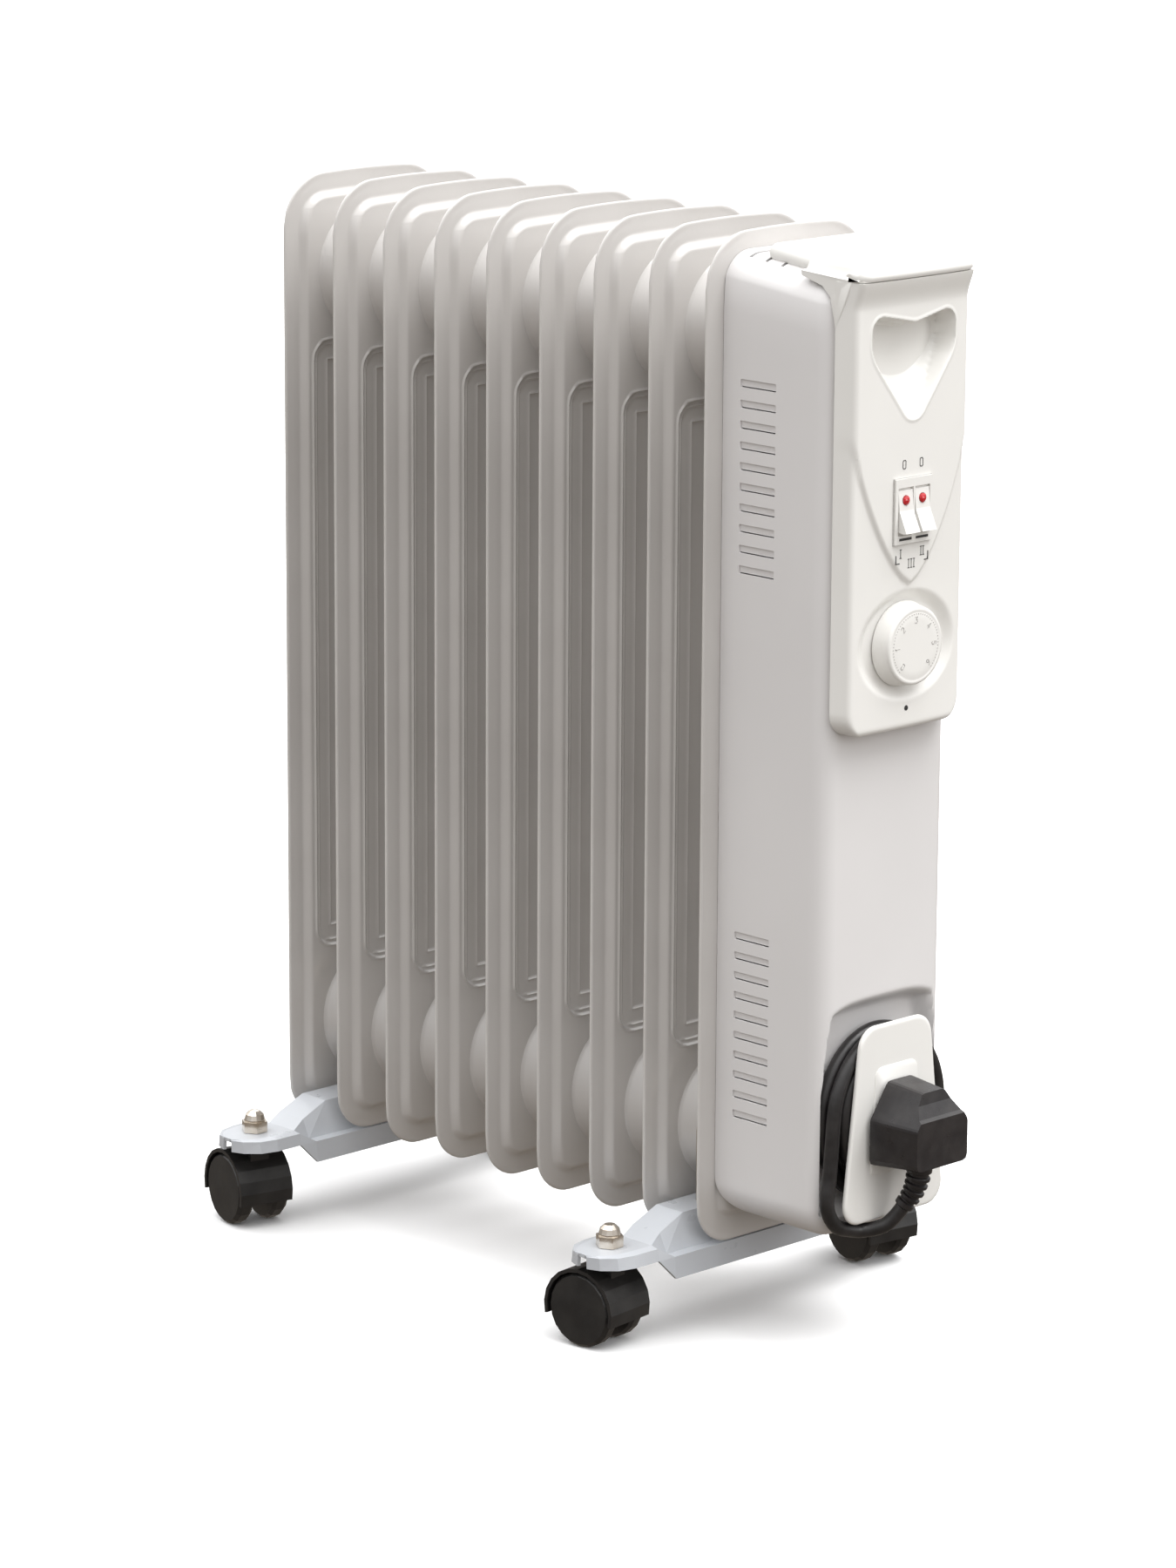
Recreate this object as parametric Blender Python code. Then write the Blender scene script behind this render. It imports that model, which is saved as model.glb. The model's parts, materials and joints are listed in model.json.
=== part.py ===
"""Oil filled radiator heater on four twin-wheel castors, with a mains lead wound on its front.

Metres, +Z up, standing on Z = 0. The fins stack along Y and the control panel faces -Y.
The origin is the bottom centre of the heater without its lead and plug.
"""

import math

import bmesh
import bpy
from mathutils import Matrix, Vector

# ---------------------------------------------------------------- driving dimensions
GAP = 0.0003                  # clearance between neighbouring pieces
RUNNING_GAP = 0.0004          # clearance of a piece that turns

# Fins: each is two pressed steel sheets welded round their rim.
FIN_COUNT = 9
FIN_PITCH = 0.044
FIN_WIDTH = 0.128
FIN_HEIGHT = 0.580
FIN_CROWN = 0.003             # rise of the arched top edge
FIN_TOP_CORNER = 0.030
FIN_BOTTOM_CORNER = 0.026
FIN_SHEET = 0.0009
FIN_FLANGE = 0.0110           # flat welded rim
FIN_COVER_FLANGE = 0.0150     # the same on the front of the last fin, where the cover stands on it
FIN_BULGE = 0.0045            # half thickness across the oil channels
FIN_BULGE_RUN = 0.0040        # width of the sloping side of the bulge
HEADER_INSET = 0.060          # centre of a header from the fin's top or bottom
HEADER_BASE_RADIUS = 0.039
HEADER_NECK_RADIUS = 0.033
HEADER_BORE_RADIUS = 0.016

# Heating element, in the bottom header
ELEMENT_ROD_RADIUS = 0.004
ELEMENT_ROD_SPACING = 0.016
ELEMENT_FLANGE_RADIUS = 0.022
ELEMENT_FLANGE_THICKNESS = 0.006
GASKET_THICKNESS = 0.0015
ELEMENT_END_CLEARANCE = 0.020

# Foot brackets and castors
BRACKET_SHEET = 0.002
BRACKET_SEAT_Z = 0.0507       # the fins stand on this level
BRACKET_RIDGE_Z = 0.0700
BRACKET_END_Z = 0.0580        # top of the flat round end
BRACKET_SKIRT_Z = 0.0500
BRACKET_LIP_Z = 0.0380
BRACKET_HALF_WIDTH = 0.025
BRACKET_END_RADIUS = 0.022
CASTOR_X = 0.1115             # castor stem from the centre plane
STEM_RADIUS = 0.004           # M8
STEM_COLLAR_RADIUS = 0.007
WHEEL_RADIUS = 0.022
CASTOR_WIDTH = 0.035
CASTOR_WEB = 0.013
HOOD_WALL = 0.0022
HOOD_START_DEG = -14          # the hood wraps the wheels from here, over the top, to 180 - this
CASTOR_TRAIL = 0.009
AXLE_RADIUS = 0.003
NUT_FLATS = 0.014
NUT_HEX_HEIGHT = 0.0065
NUT_DOME_HEIGHT = 0.0070
NUT_DOME_RADIUS = 0.0064
CASTORS = {                   # side along X, bracket, swivel at rest in degrees
    "front_left": (-1, "front", 7.0),
    "front_right": (1, "front", -9.0),
    "rear_left": (-1, "rear", -13.0),
    "rear_right": (1, "rear", 6.0),
}

# U bolts that clamp each bracket to the bottom header
U_BOLT_RADIUS = 0.003
U_BOLT_HALF_SPAN = 0.0385
U_BOLT_END_Z = 0.0330
WING_NUT_HEIGHT = 0.006

# Housing cover: a painted box, open towards the fins
COVER_HALF_WIDTH = 0.0510
COVER_DEPTH = 0.0805
COVER_BOTTOM_Z = 0.0695
COVER_TOP_DROP = 0.011        # fin top to cover top, at the fin
COVER_FRONT_DROP = 0.009      # the top falls this much towards the front
COVER_CORNER = 0.020
COVER_EDGE = 0.012
COVER_REAR_CORNER = 0.024     # rounding of the sides' lower rear corner, which clears the fin's bulge
COVER_WALL = 0.0012
COVER_BRACKET_X = 0.0225
COVER_BRACKET_WIDTH = 0.0080
SLOT_COUNT = 10
SLOT_PITCH = 0.01155
SLOT_LENGTH = 0.027
SLOT_HEIGHT = 0.0046
SLOT_FROM_FIN = 0.0282
UPPER_SLOTS_Z = 0.5490
LOWER_SLOTS_Z = 0.2360
TOP_VENT_COUNT = 3
TOP_VENT_PITCH = 0.012
TOP_VENT_WIDTH = 0.0024

# Control panel
PANEL_HALF_WIDTH = 0.0475
PANEL_DRAFT = 0.0025          # how much narrower the front is, on each side
PANEL_BOTTOM_Z = 0.360
PANEL_TOP_Z = 0.6170
PANEL_DEPTH = 0.0150
PANEL_WALL = 0.0025
PANEL_LIP = 0.006
PANEL_CAP_LENGTH = 0.026
FIELD_STEP = 0.0018           # the shield shaped field stands this proud
FIELD_SHOULDER_Z = 0.552
FIELD_TIP_Z = 0.4425
RECESS_DEPTH = 0.022          # finger recess
RECESS_WALL = 0.0018
RECESS_HALF_WIDTH = 0.034
RECESS_TOP_Z = 0.593
RECESS_TIP_Z = 0.528
PANEL_OPENING_HALF_WIDTH = 0.041
PANEL_OPENING_LOW_Z = 0.372
PANEL_OPENING_HIGH_Z = 0.598
GRIP_HALF_WIDTH = 0.037
GRIP_LENGTH = 0.0355
GRIP_THICKNESS = 0.0075

# Switches
SWITCH_Z = 0.4833
SWITCH_WIDTH = 0.0295
SWITCH_HEIGHT = 0.0362
SWITCH_RIM = 0.0015
SWITCH_DEPTH = 0.024
ROCKER_WIDTH = 0.0112
ROCKER_HALF_HEIGHT = 0.0118
ROCKER_SPACING = 0.0132
ROCKER_TRAVEL_DEG = 14.0
LENS_RADIUS = 0.0026

# Thermostat
KNOB_Z = 0.4078
KNOB_RADIUS = 0.0221
KNOB_BASE_RADIUS = 0.0240
KNOB_REACH = 0.0050           # knob face beyond the panel's upper field
DISH_HALF_WIDTH = 0.0390
DISH_HALF_HEIGHT = 0.0315
DISH_DEPTH = 0.0050
SHAFT_RADIUS = 0.003

# Lead, winder and plug
CORD_DIAMETER = 0.0084
COIL_LAYERS = 3
COIL_TURNS_ABREAST = 2
COIL_STRAIGHT_HALF = 0.006    # half length of the straight sides of the wound lead
COIL_END_RADIUS = 0.047
COIL_CENTRE_Z = 0.1370
WINDER_WALL = 0.0025
WINDER_PLATE = 0.003
WINDER_TOP_HALF_WIDTH = 0.028
WINDER_BOTTOM_HALF_WIDTH = 0.0435
WINDER_TOP_Z = 0.1925
WINDER_BOTTOM_Z = 0.0790
STORE_DEPTH = 0.0110          # recess in the cover that takes the wound lead
STORE_WALL = 0.0022
STORE_TOP_Z = 0.2040
STORE_TOP_HALF_WIDTH = 0.0425
STORE_HALF_WIDTH = 0.0480
PLUG_STAND_OFF = 0.0030
PLUG_WIDTH = 0.048
PLUG_BOTTOM_Z = 0.1130
PLUG_HEIGHT = 0.0470
PLUG_DEPTH = 0.0330
PIN_SPACING = 0.0222
LIVE_PIN_Z = 0.1250
LIVE_PIN_LENGTH = 0.0177
EARTH_PIN_LENGTH = 0.0227
GLAND_RADIUS = 0.0055
GLAND_FLANGE_RADIUS = 0.0078
WING_THICKNESS = 0.002
RECESS_DIP = 0.0065
LENS_HEIGHT_SHARE = 0.52      # height of a lens above the pivot, as a share of the rocker's half height
THERMOSTAT_WIDTH = 0.034
THERMOSTAT_HEIGHT = 0.030
THERMOSTAT_DEPTH = 0.022
CUTOUT_Z = 0.350
TERMINAL_HALF_WIDTH = 0.018
TERMINAL_DEPTH = 0.016
TERMINAL_HEIGHT = 0.020
TERMINAL_TOP_Z = 0.310
LOOM_DIAMETER = 0.006
RELIEF_START_RADIUS = 0.0078
RELIEF_END_RADIUS = 0.0054
PLUG_GRIP_RADIUS = 0.020
PLUG_FRONT_WIDTH_SHARE = 0.86
PLUG_FRONT_HEIGHT_SHARE = 0.88
GLAND_FLANGE = 0.0012

# ---------------------------------------------------------------- derived places
HEADER_REACH = FIN_PITCH / 2 - GAP / 2
STACK_HALF = (FIN_COUNT - 1) / 2 * FIN_PITCH
COVER_BACK = FIN_SHEET + GAP                       # from the front fin's middle plane, towards -Y
COVER_FRONT = COVER_BACK + COVER_DEPTH
PANEL_FACE = COVER_FRONT + PANEL_DEPTH
KNOB_FACE = PANEL_FACE + KNOB_REACH
STACK_Y = (STACK_HALF + KNOB_FACE - STACK_HALF - HEADER_REACH) / 2
FRONT_FIN_Y = STACK_Y - STACK_HALF
FIN_BOTTOM_Z = BRACKET_SEAT_Z + GAP
FIN_TOP_Z = FIN_BOTTOM_Z + FIN_HEIGHT
HEADER_Z = {"bottom": FIN_BOTTOM_Z + HEADER_INSET, "top": FIN_TOP_Z - HEADER_INSET}
COVER_TOP_Z = FIN_TOP_Z - COVER_TOP_DROP
COVER_BACK_Y = FRONT_FIN_Y - COVER_BACK
COVER_FRONT_Y = FRONT_FIN_Y - COVER_FRONT
PANEL_BACK_Y = COVER_FRONT_Y - GAP
PANEL_FACE_Y = FRONT_FIN_Y - PANEL_FACE
PANEL_LOW_FACE_Y = PANEL_FACE_Y + FIELD_STEP
DISH_FLOOR_Y = PANEL_LOW_FACE_Y + DISH_DEPTH
KNOB_FACE_Y = FRONT_FIN_Y - KNOB_FACE
STORE_FLOOR_Y = COVER_FRONT_Y + STORE_DEPTH
COIL_BACK_Y = STORE_FLOOR_Y - GAP - GLAND_FLANGE - GAP
COIL_DEPTH = COIL_TURNS_ABREAST * CORD_DIAMETER + GAP
PLATE_BACK_Y = COIL_BACK_Y - COIL_DEPTH - GAP
PLATE_FRONT_Y = PLATE_BACK_Y - WINDER_PLATE
COIL_INNER_RADIUS = COIL_END_RADIUS - COIL_LAYERS * CORD_DIAMETER
HUB_RADIUS = COIL_INNER_RADIUS - GAP
STORE_BOTTOM_Z = COIL_CENTRE_Z - COIL_STRAIGHT_HALF - COIL_END_RADIUS - 0.001
PLUG_BASE_Y = PLATE_FRONT_Y - PLUG_STAND_OFF
CORD_EXIT_Y = PLUG_BASE_Y - 0.0160
HOOD_RADIUS = WHEEL_RADIUS + RUNNING_GAP + HOOD_WALL
TOP_VENT_LENGTH = COVER_HALF_WIDTH * 1.56
SWITCH_FRONT_Y = PANEL_FACE_Y - GAP - SWITCH_RIM
ROCKER_PIVOT_Y = SWITCH_FRONT_Y + 0.0045
ROCKER_WELL_HALF_HEIGHT = ROCKER_HALF_HEIGHT + 0.0014
GLAND_X = 0.0
GLAND_Z = COIL_CENTRE_Z + COIL_STRAIGHT_HALF + (COIL_END_RADIUS + COIL_INNER_RADIUS) / 2
# The lead from the plug's strain relief, under the winder's plate, up to the coil's lower left side.
STRAIN_RELIEF_POINTS = [(0.0, CORD_EXIT_Y, PLUG_BOTTOM_Z - GAP), (-0.0004, CORD_EXIT_Y + 0.0005, 0.1060),
                        (-0.0020, CORD_EXIT_Y + 0.0026, 0.0970), (-0.0055, CORD_EXIT_Y + 0.0066, 0.0885)]
TAIL_POINTS = [(-0.0057, CORD_EXIT_Y + 0.0069, 0.0879), (-0.0083, CORD_EXIT_Y + 0.0100, 0.0822),
               (-0.0130, CORD_EXIT_Y + 0.0145, 0.0764), (-0.0205, PLATE_BACK_Y + 0.0010, 0.0734),
               (-0.0300, PLATE_BACK_Y + 0.0034, 0.0752), (-0.0400, PLATE_BACK_Y + 0.0039, 0.0793),
               (-0.0465, PLATE_BACK_Y + 0.0044, 0.0900), (-0.0467, PLATE_BACK_Y + 0.0046, 0.0995),
               (-0.0453, PLATE_BACK_Y + 0.0046, 0.1060)]

COLOURS = {
    "fin_enamel": ((0.80, 0.80, 0.78), 0.28, 0.0),
    "cover_enamel": ((0.78, 0.76, 0.74), 0.38, 0.0),
    "panel_plastic": ((0.86, 0.85, 0.83), 0.42, 0.0),
    "foot_enamel": ((0.55, 0.59, 0.63), 0.35, 0.0),
    "nickel": ((0.80, 0.74, 0.66), 0.14, 1.0),
    "steel": ((0.55, 0.55, 0.56), 0.30, 1.0),
    "brass": ((0.78, 0.62, 0.30), 0.25, 1.0),
    "castor_plastic": ((0.025, 0.024, 0.024), 0.45, 0.0),
    "lead_rubber": ((0.022, 0.020, 0.020), 0.42, 0.0),
    "plug_plastic": ((0.030, 0.026, 0.026), 0.40, 0.0),
    "lens_red": ((0.70, 0.03, 0.03), 0.12, 0.0),
    "inner_plastic": ((0.12, 0.12, 0.13), 0.50, 0.0),
    "gasket_fibre": ((0.35, 0.20, 0.12), 0.80, 0.0),
    "wire_silicone": ((0.50, 0.10, 0.06), 0.55, 0.0),
}


# ---------------------------------------------------------------- scene and material helpers
def clear_scene():
    for obj in list(bpy.data.objects):
        bpy.data.objects.remove(obj, do_unlink=True)


def material(name):
    found = bpy.data.materials.get(name)
    if found:
        return found
    colour, roughness, metallic = COLOURS[name]
    made = bpy.data.materials.new(name)
    made.use_nodes = True
    shader = made.node_tree.nodes["Principled BSDF"]
    shader.inputs["Base Color"].default_value = (*colour, 1.0)
    shader.inputs["Roughness"].default_value = roughness
    shader.inputs["Metallic"].default_value = metallic
    return made


def add_object(name, data, finish, smooth=True):
    obj = bpy.data.objects.new(name, data)
    bpy.context.scene.collection.objects.link(obj)
    if finish:
        data.materials.append(material(finish))
    if smooth and isinstance(data, bpy.types.Mesh):
        data.shade_smooth()
        data.set_sharp_from_angle(angle=math.radians(32))
    return obj


def mesh_object(name, shape, finish, smooth=True):
    """A mesh object from a bmesh, which it frees."""
    bmesh.ops.recalc_face_normals(shape, faces=shape.faces)
    data = bpy.data.meshes.new(name)
    shape.to_mesh(data)
    shape.free()
    return add_object(name, data, finish, smooth)


def helper(obj):
    """Makes an object a cutter or a piece to join: never rendered, drawn as wire."""
    obj.hide_render = True
    obj.display_type = "WIRE"
    return obj


def boolean(obj, other, operation="DIFFERENCE"):
    step = obj.modifiers.new(f"{operation.lower()}_{other.name}", "BOOLEAN")
    step.operation = operation
    step.object = other
    step.solver = "EXACT"


def cut(obj, other):
    boolean(obj, helper(other), "DIFFERENCE")


def join(obj, other):
    boolean(obj, helper(other), "UNION")


# ---------------------------------------------------------------- outlines, as lists of (u, v)
def fillet(corners, steps=4):
    """A closed outline through corners (u, v, radius), each rounded with an arc."""
    outline = []
    count = len(corners)
    for index, (u, v, radius) in enumerate(corners):
        here = Vector((u, v))
        if radius <= 0:
            outline.append((u, v))
            continue
        before = (Vector(corners[index - 1][:2]) - here).normalized()
        after = (Vector(corners[(index + 1) % count][:2]) - here).normalized()
        half = before.angle(after) / 2
        centre = here + (before + after).normalized() * (radius / math.sin(half))
        start = here + before * (radius / math.tan(half)) - centre
        end = here + after * (radius / math.tan(half)) - centre
        turn = math.atan2(start.x * end.y - start.y * end.x, start.dot(end))
        for step in range(steps + 1):
            angle = turn * step / steps
            c, s = math.cos(angle), math.sin(angle)
            outline.append((centre.x + start.x * c - start.y * s, centre.y + start.x * s + start.y * c))
    return outline


def rounded_box(half_width, low, high, radius, steps=4):
    return fillet([(-half_width, low, radius), (half_width, low, radius),
                   (half_width, high, radius), (-half_width, high, radius)], steps)


def circle(radius, count, u=0.0, v=0.0, squash=1.0):
    return [(u + radius * math.cos(2 * math.pi * k / count),
             v + radius * squash * math.sin(2 * math.pi * k / count)) for k in range(count)]


def obround(radius, straight_half, centre_v, steps=7):
    """Two half circles joined by straight sides along v."""
    points = []
    for k in range(steps + 1):
        angle = math.pi * k / steps
        points.append((radius * math.cos(angle), centre_v + straight_half + radius * math.sin(angle)))
    for k in range(steps + 1):
        angle = math.pi + math.pi * k / steps
        points.append((radius * math.cos(angle), centre_v - straight_half + radius * math.sin(angle)))
    return points


def smooth_route(points, spacing):
    """Points about `spacing` apart on a smooth curve through the given ones (centripetal spline)."""
    knots = [Vector(p) for p in points]
    knots = [2 * knots[0] - knots[1], *knots, 2 * knots[-1] - knots[-2]]
    route = [knots[1]]
    for a, b, c, d in zip(knots, knots[1:], knots[2:], knots[3:]):
        times = [0.0]
        for start, end in ((a, b), (b, c), (c, d)):
            times.append(times[-1] + (end - start).length ** 0.5)
        count = max(1, round((c - b).length / spacing))
        for step in range(1, count + 1):
            t = times[1] + (times[2] - times[1]) * step / count
            route.append(spline_point((a, b, c, d), times, t))
    return route


def spline_point(knots, times, t):
    """The point at time t on a spline that passes through the two middle knots."""
    level = list(knots)
    for depth in (1, 2):
        level = [level[i] * ((times[i + depth] - t) / (times[i + depth] - times[i]))
                 + level[i + 1] * ((t - times[i]) / (times[i + depth] - times[i]))
                 for i in range(len(level) - 1)]
    share = (t - times[1]) / (times[2] - times[1])
    return level[0] * (1 - share) + level[1] * share


# ---------------------------------------------------------------- solids
def place(axis, u, v, along):
    """The outline's (u, v) and its distance along the axis, as a point."""
    if axis == "X":
        return (along, u, v)
    if axis == "Y":
        return (u, along, v)
    return (u, v, along)


def prism_shape(outline, axis, low, high):
    shape = bmesh.new()
    ends = [[shape.verts.new(place(axis, u, v, along)) for u, v in outline] for along in (low, high)]
    shape.faces.new(ends[0])
    shape.faces.new(ends[1])
    for k in range(len(outline)):
        n = (k + 1) % len(outline)
        shape.faces.new((ends[0][k], ends[0][n], ends[1][n], ends[1][k]))
    return shape


def prism(name, outline, axis, low, high, finish=None, smooth=True):
    return mesh_object(name, prism_shape(outline, axis, low, high), finish, smooth)


def box(name, low, high, finish=None):
    outline = [(low[1], low[2]), (high[1], low[2]), (high[1], high[2]), (low[1], high[2])]
    return prism(name, outline, "X", low[0], high[0], finish, smooth=False)


def turned(name, profile, axis, centre, count, finish=None):
    """A solid of revolution: profile of (radius, distance along the axis), about an axis at centre."""
    shape = bmesh.new()
    rings = []
    for radius, along in profile:
        if radius < 1e-7:
            ring = [shape.verts.new(place(axis, 0.0, 0.0, along))]
        else:
            ring = [shape.verts.new(place(axis, u, v, along)) for u, v in circle(radius, count)]
        rings.append(ring)
    closed = profile[0][0] > 1e-7 or profile[-1][0] > 1e-7
    pairs = list(zip(rings, rings[1:])) + ([(rings[-1], rings[0])] if closed else [])
    for ring, after in pairs:
        for k in range(count):
            n = (k + 1) % count
            if len(ring) == 1 and len(after) == 1:
                continue
            if len(ring) == 1:
                shape.faces.new((ring[0], after[k], after[n]))
            elif len(after) == 1:
                shape.faces.new((ring[k], ring[n], after[0]))
            else:
                shape.faces.new((ring[k], ring[n], after[n], after[k]))
    bmesh.ops.translate(shape, verts=shape.verts, vec=centre)
    return mesh_object(name, shape, finish)


def cylinder(name, radius, axis, low, high, centre=(0, 0, 0), count=12, finish=None):
    return turned(name, [(0, low), (radius, low), (radius, high), (0, high)], axis, centre, count, finish)


def swept(name, route, radii, sides, finish=None):
    """A round bar along a route, with its own radius at each point and flat ends."""
    shape = bmesh.new()
    rings = []
    normal = None
    for index, point in enumerate(route):
        ahead = route[min(index + 1, len(route) - 1)] - route[max(index - 1, 0)]
        ahead.normalize()
        if normal is None:
            normal = ahead.orthogonal().normalized()
        normal = (normal - ahead * normal.dot(ahead)).normalized()
        side = ahead.cross(normal)
        rings.append([shape.verts.new(point + (normal * c + side * s) * radii[index])
                      for c, s in circle(1.0, sides)])
    for ring, after in zip(rings, rings[1:]):
        for k in range(sides):
            n = (k + 1) % sides
            shape.faces.new((ring[k], ring[n], after[n], after[k]))
    shape.faces.new(rings[0])
    shape.faces.new(rings[-1])
    return mesh_object(name, shape, finish)


def cord_tube(name, route, diameter, finish):
    """A lead as a curve with a round section and closed ends."""
    data = bpy.data.curves.new(name, "CURVE")
    data.dimensions = "3D"
    data.bevel_depth = diameter / 2
    data.bevel_resolution = 2
    data.use_fill_caps = True
    line = data.splines.new("POLY")
    line.points.add(len(route) - 1)
    for point, place_on in zip(line.points, route):
        point.co = (*place_on, 1.0)
    return add_object(name, data, finish, smooth=False)


# ---------------------------------------------------------------- fins
def fin_y(number):
    return STACK_Y + STACK_HALF - (number - 1) * FIN_PITCH


def fin_outline(inset):
    """The fin's outline (x, z) moved inwards, with its arched top.

    Every inset has the same number of points.
    """
    half = FIN_WIDTH / 2 - inset
    low, high = FIN_BOTTOM_Z + inset, FIN_TOP_Z - inset
    top = max(FIN_TOP_CORNER - inset, 0.004)
    bottom = max(FIN_BOTTOM_CORNER - inset, 0.004)
    corners = [(-half, low, bottom), (half, low, bottom), (half, high, top), (0, high, 0),
               (-half, high, top)]
    points = []
    for x, z in fillet(corners, 5):
        share = max(0.0, (z - (high - top)) / top)
        arch = FIN_CROWN * ((x / (FIN_WIDTH / 2)) ** 2) * share
        points.append((x, z - arch))
    return points


def bridge(shape, ring, after):
    for k in range(len(ring)):
        n = (k + 1) % len(ring)
        shape.faces.new((ring[k], ring[n], after[n], after[k]))


def fill_between(shape, outer, holes):
    """A flat face inside an outer ring, with round holes."""
    edges = []
    for ring in (outer, *holes):
        for k in range(len(ring)):
            pair = (ring[k], ring[(k + 1) % len(ring)])
            edges.append(shape.edges.get(pair) or shape.edges.new(pair))
    bmesh.ops.triangle_fill(shape, use_beauty=True, use_dissolve=False, edges=edges)


def flange_width(number, side):
    return FIN_COVER_FLANGE if number == FIN_COUNT and side == -1 else FIN_FLANGE


def fin_side(shape, number, side, rim, inner_rim):
    """One pressed sheet of a fin: its outer and its inner surface, on the +Y (1) or -Y (-1) side."""
    middle = fin_y(number)
    flange = flange_width(number, side)

    def ring(points, depth):
        return [shape.verts.new((x, middle + side * depth, z)) for x, z in points]

    slope_foot = ring(fin_outline(flange), FIN_SHEET)
    bridge(shape, rim, slope_foot)
    slope_top = ring(fin_outline(flange + FIN_BULGE_RUN), FIN_BULGE)
    bridge(shape, slope_foot, slope_top)
    inner_top = ring(fin_outline(flange + FIN_BULGE_RUN + FIN_SHEET), FIN_BULGE - FIN_SHEET)
    bridge(shape, inner_rim, inner_top)
    blind = number == 1 and side == 1
    outer_holes, inner_holes = [], []
    for header_z in HEADER_Z.values():
        base = ring(circle(HEADER_BASE_RADIUS, 16, v=header_z), FIN_BULGE)
        neck = ring(circle(HEADER_NECK_RADIUS, 16, v=header_z), HEADER_REACH)
        bridge(shape, base, neck)
        inner_base = ring(circle(HEADER_BASE_RADIUS - FIN_SHEET, 16, v=header_z), FIN_BULGE - FIN_SHEET)
        outer_holes.append(base)
        inner_holes.append(inner_base)
        if blind:
            shape.faces.new(neck)
            inner_neck = ring(circle(HEADER_BORE_RADIUS, 16, v=header_z), HEADER_REACH - FIN_SHEET)
            bridge(shape, inner_base, inner_neck)
            shape.faces.new(inner_neck)
        else:
            mouth = ring(circle(HEADER_BORE_RADIUS, 16, v=header_z), HEADER_REACH)
            bridge(shape, neck, mouth)
            bridge(shape, mouth, inner_base)
    fill_between(shape, slope_top, outer_holes)
    fill_between(shape, inner_top, inner_holes)


def build_fin(number):
    shape = bmesh.new()
    middle = fin_y(number)
    outline = fin_outline(0.0)
    rims = {side: [shape.verts.new((x, middle + side * FIN_SHEET, z)) for x, z in outline]
            for side in (1, -1)}
    bridge(shape, rims[1], rims[-1])
    widest = max(flange_width(number, side) for side in (1, -1))
    inner_rim = [shape.verts.new((x, middle, z)) for x, z in fin_outline(widest + FIN_SHEET)]
    for side in (1, -1):
        fin_side(shape, number, side, rims[side], inner_rim)
    return mesh_object(f"fin_{number}", shape, "fin_enamel")


# ---------------------------------------------------------------- heating element and oil filler
def build_element():
    """A hairpin tubular heater on a round flange, its terminals on the front."""
    z = HEADER_Z["bottom"]
    boss_y = FRONT_FIN_Y - HEADER_REACH
    gasket_y = boss_y - GAP
    flange_y = gasket_y - GASKET_THICKNESS - GAP
    turned("element_gasket", [(HEADER_BORE_RADIUS + 0.001, 0), (HEADER_NECK_RADIUS - 0.001, 0),
                              (HEADER_NECK_RADIUS - 0.001, -GASKET_THICKNESS),
                              (HEADER_BORE_RADIUS + 0.001, -GASKET_THICKNESS)],
           "Y", (0, gasket_y, z), 16, "gasket_fibre")
    flange = cylinder("heating_element", ELEMENT_FLANGE_RADIUS, "Y", -ELEMENT_FLANGE_THICKNESS, 0,
                      (0, flange_y, z), 16, "steel")
    half = ELEMENT_ROD_SPACING / 2
    far = fin_y(1) - ELEMENT_END_CLEARANCE
    terminal_y = flange_y - ELEMENT_FLANGE_THICKNESS - 0.010
    route = [Vector((-half, terminal_y, z)), Vector((-half, far - half, z))]
    route += [Vector((-half * math.cos(math.pi * k / 4), far - half + half * math.sin(math.pi * k / 4), z))
              for k in (1, 2, 3)]
    route += [Vector((half, far - half, z)), Vector((half, terminal_y, z))]
    join(flange, swept("element_rod", route, [ELEMENT_ROD_RADIUS] * len(route), 8))


def build_filler_plug():
    z = HEADER_Z["top"]
    stem = HEADER_BORE_RADIUS - 0.0006
    turned("oil_filler_plug", [(0, 0.006), (stem, 0.006), (stem, -GAP), (0.021, -GAP), (0.021, -0.004),
                               (0.010, -0.004), (0.010, -0.010), (0, -0.010)],
           "Y", (0, FRONT_FIN_Y - HEADER_REACH, z), 12, "steel")


# ---------------------------------------------------------------- feet
def bracket_sections():
    """Sections (x, [(y, z), ...] over half the width) from the centre out to the round end."""
    def channel(x, ridge_half, ridge_z, lip_z):
        return (x, [(0, ridge_z), (ridge_half, ridge_z), (0.0165, BRACKET_SEAT_Z),
                    (BRACKET_HALF_WIDTH - 0.0015, BRACKET_SEAT_Z), (BRACKET_HALF_WIDTH, lip_z)])

    def end(x):
        reach = max(0.0, x - CASTOR_X)
        half = math.sqrt(max(BRACKET_END_RADIUS ** 2 - reach ** 2, 0.0))
        return (x, [(0, BRACKET_END_Z), (half * 0.35, BRACKET_END_Z), (half * 0.7, BRACKET_END_Z),
                    (half * 0.93, BRACKET_END_Z - 0.001), (half, BRACKET_SKIRT_Z)])

    half_fin = FIN_WIDTH / 2
    near_end = CASTOR_X - BRACKET_END_RADIUS
    sections = [channel(0.0, 0.0105, BRACKET_RIDGE_Z, BRACKET_LIP_Z),
                channel(half_fin, 0.0105, BRACKET_RIDGE_Z, BRACKET_LIP_Z),
                channel(near_end - 0.007, 0.0110, BRACKET_END_Z + 0.004, BRACKET_LIP_Z)]
    sections += [end(near_end + 0.004), end(CASTOR_X)]
    sections += [end(CASTOR_X + BRACKET_END_RADIUS * share) for share in (0.5, 0.85, 0.985)]
    return sections


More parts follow.
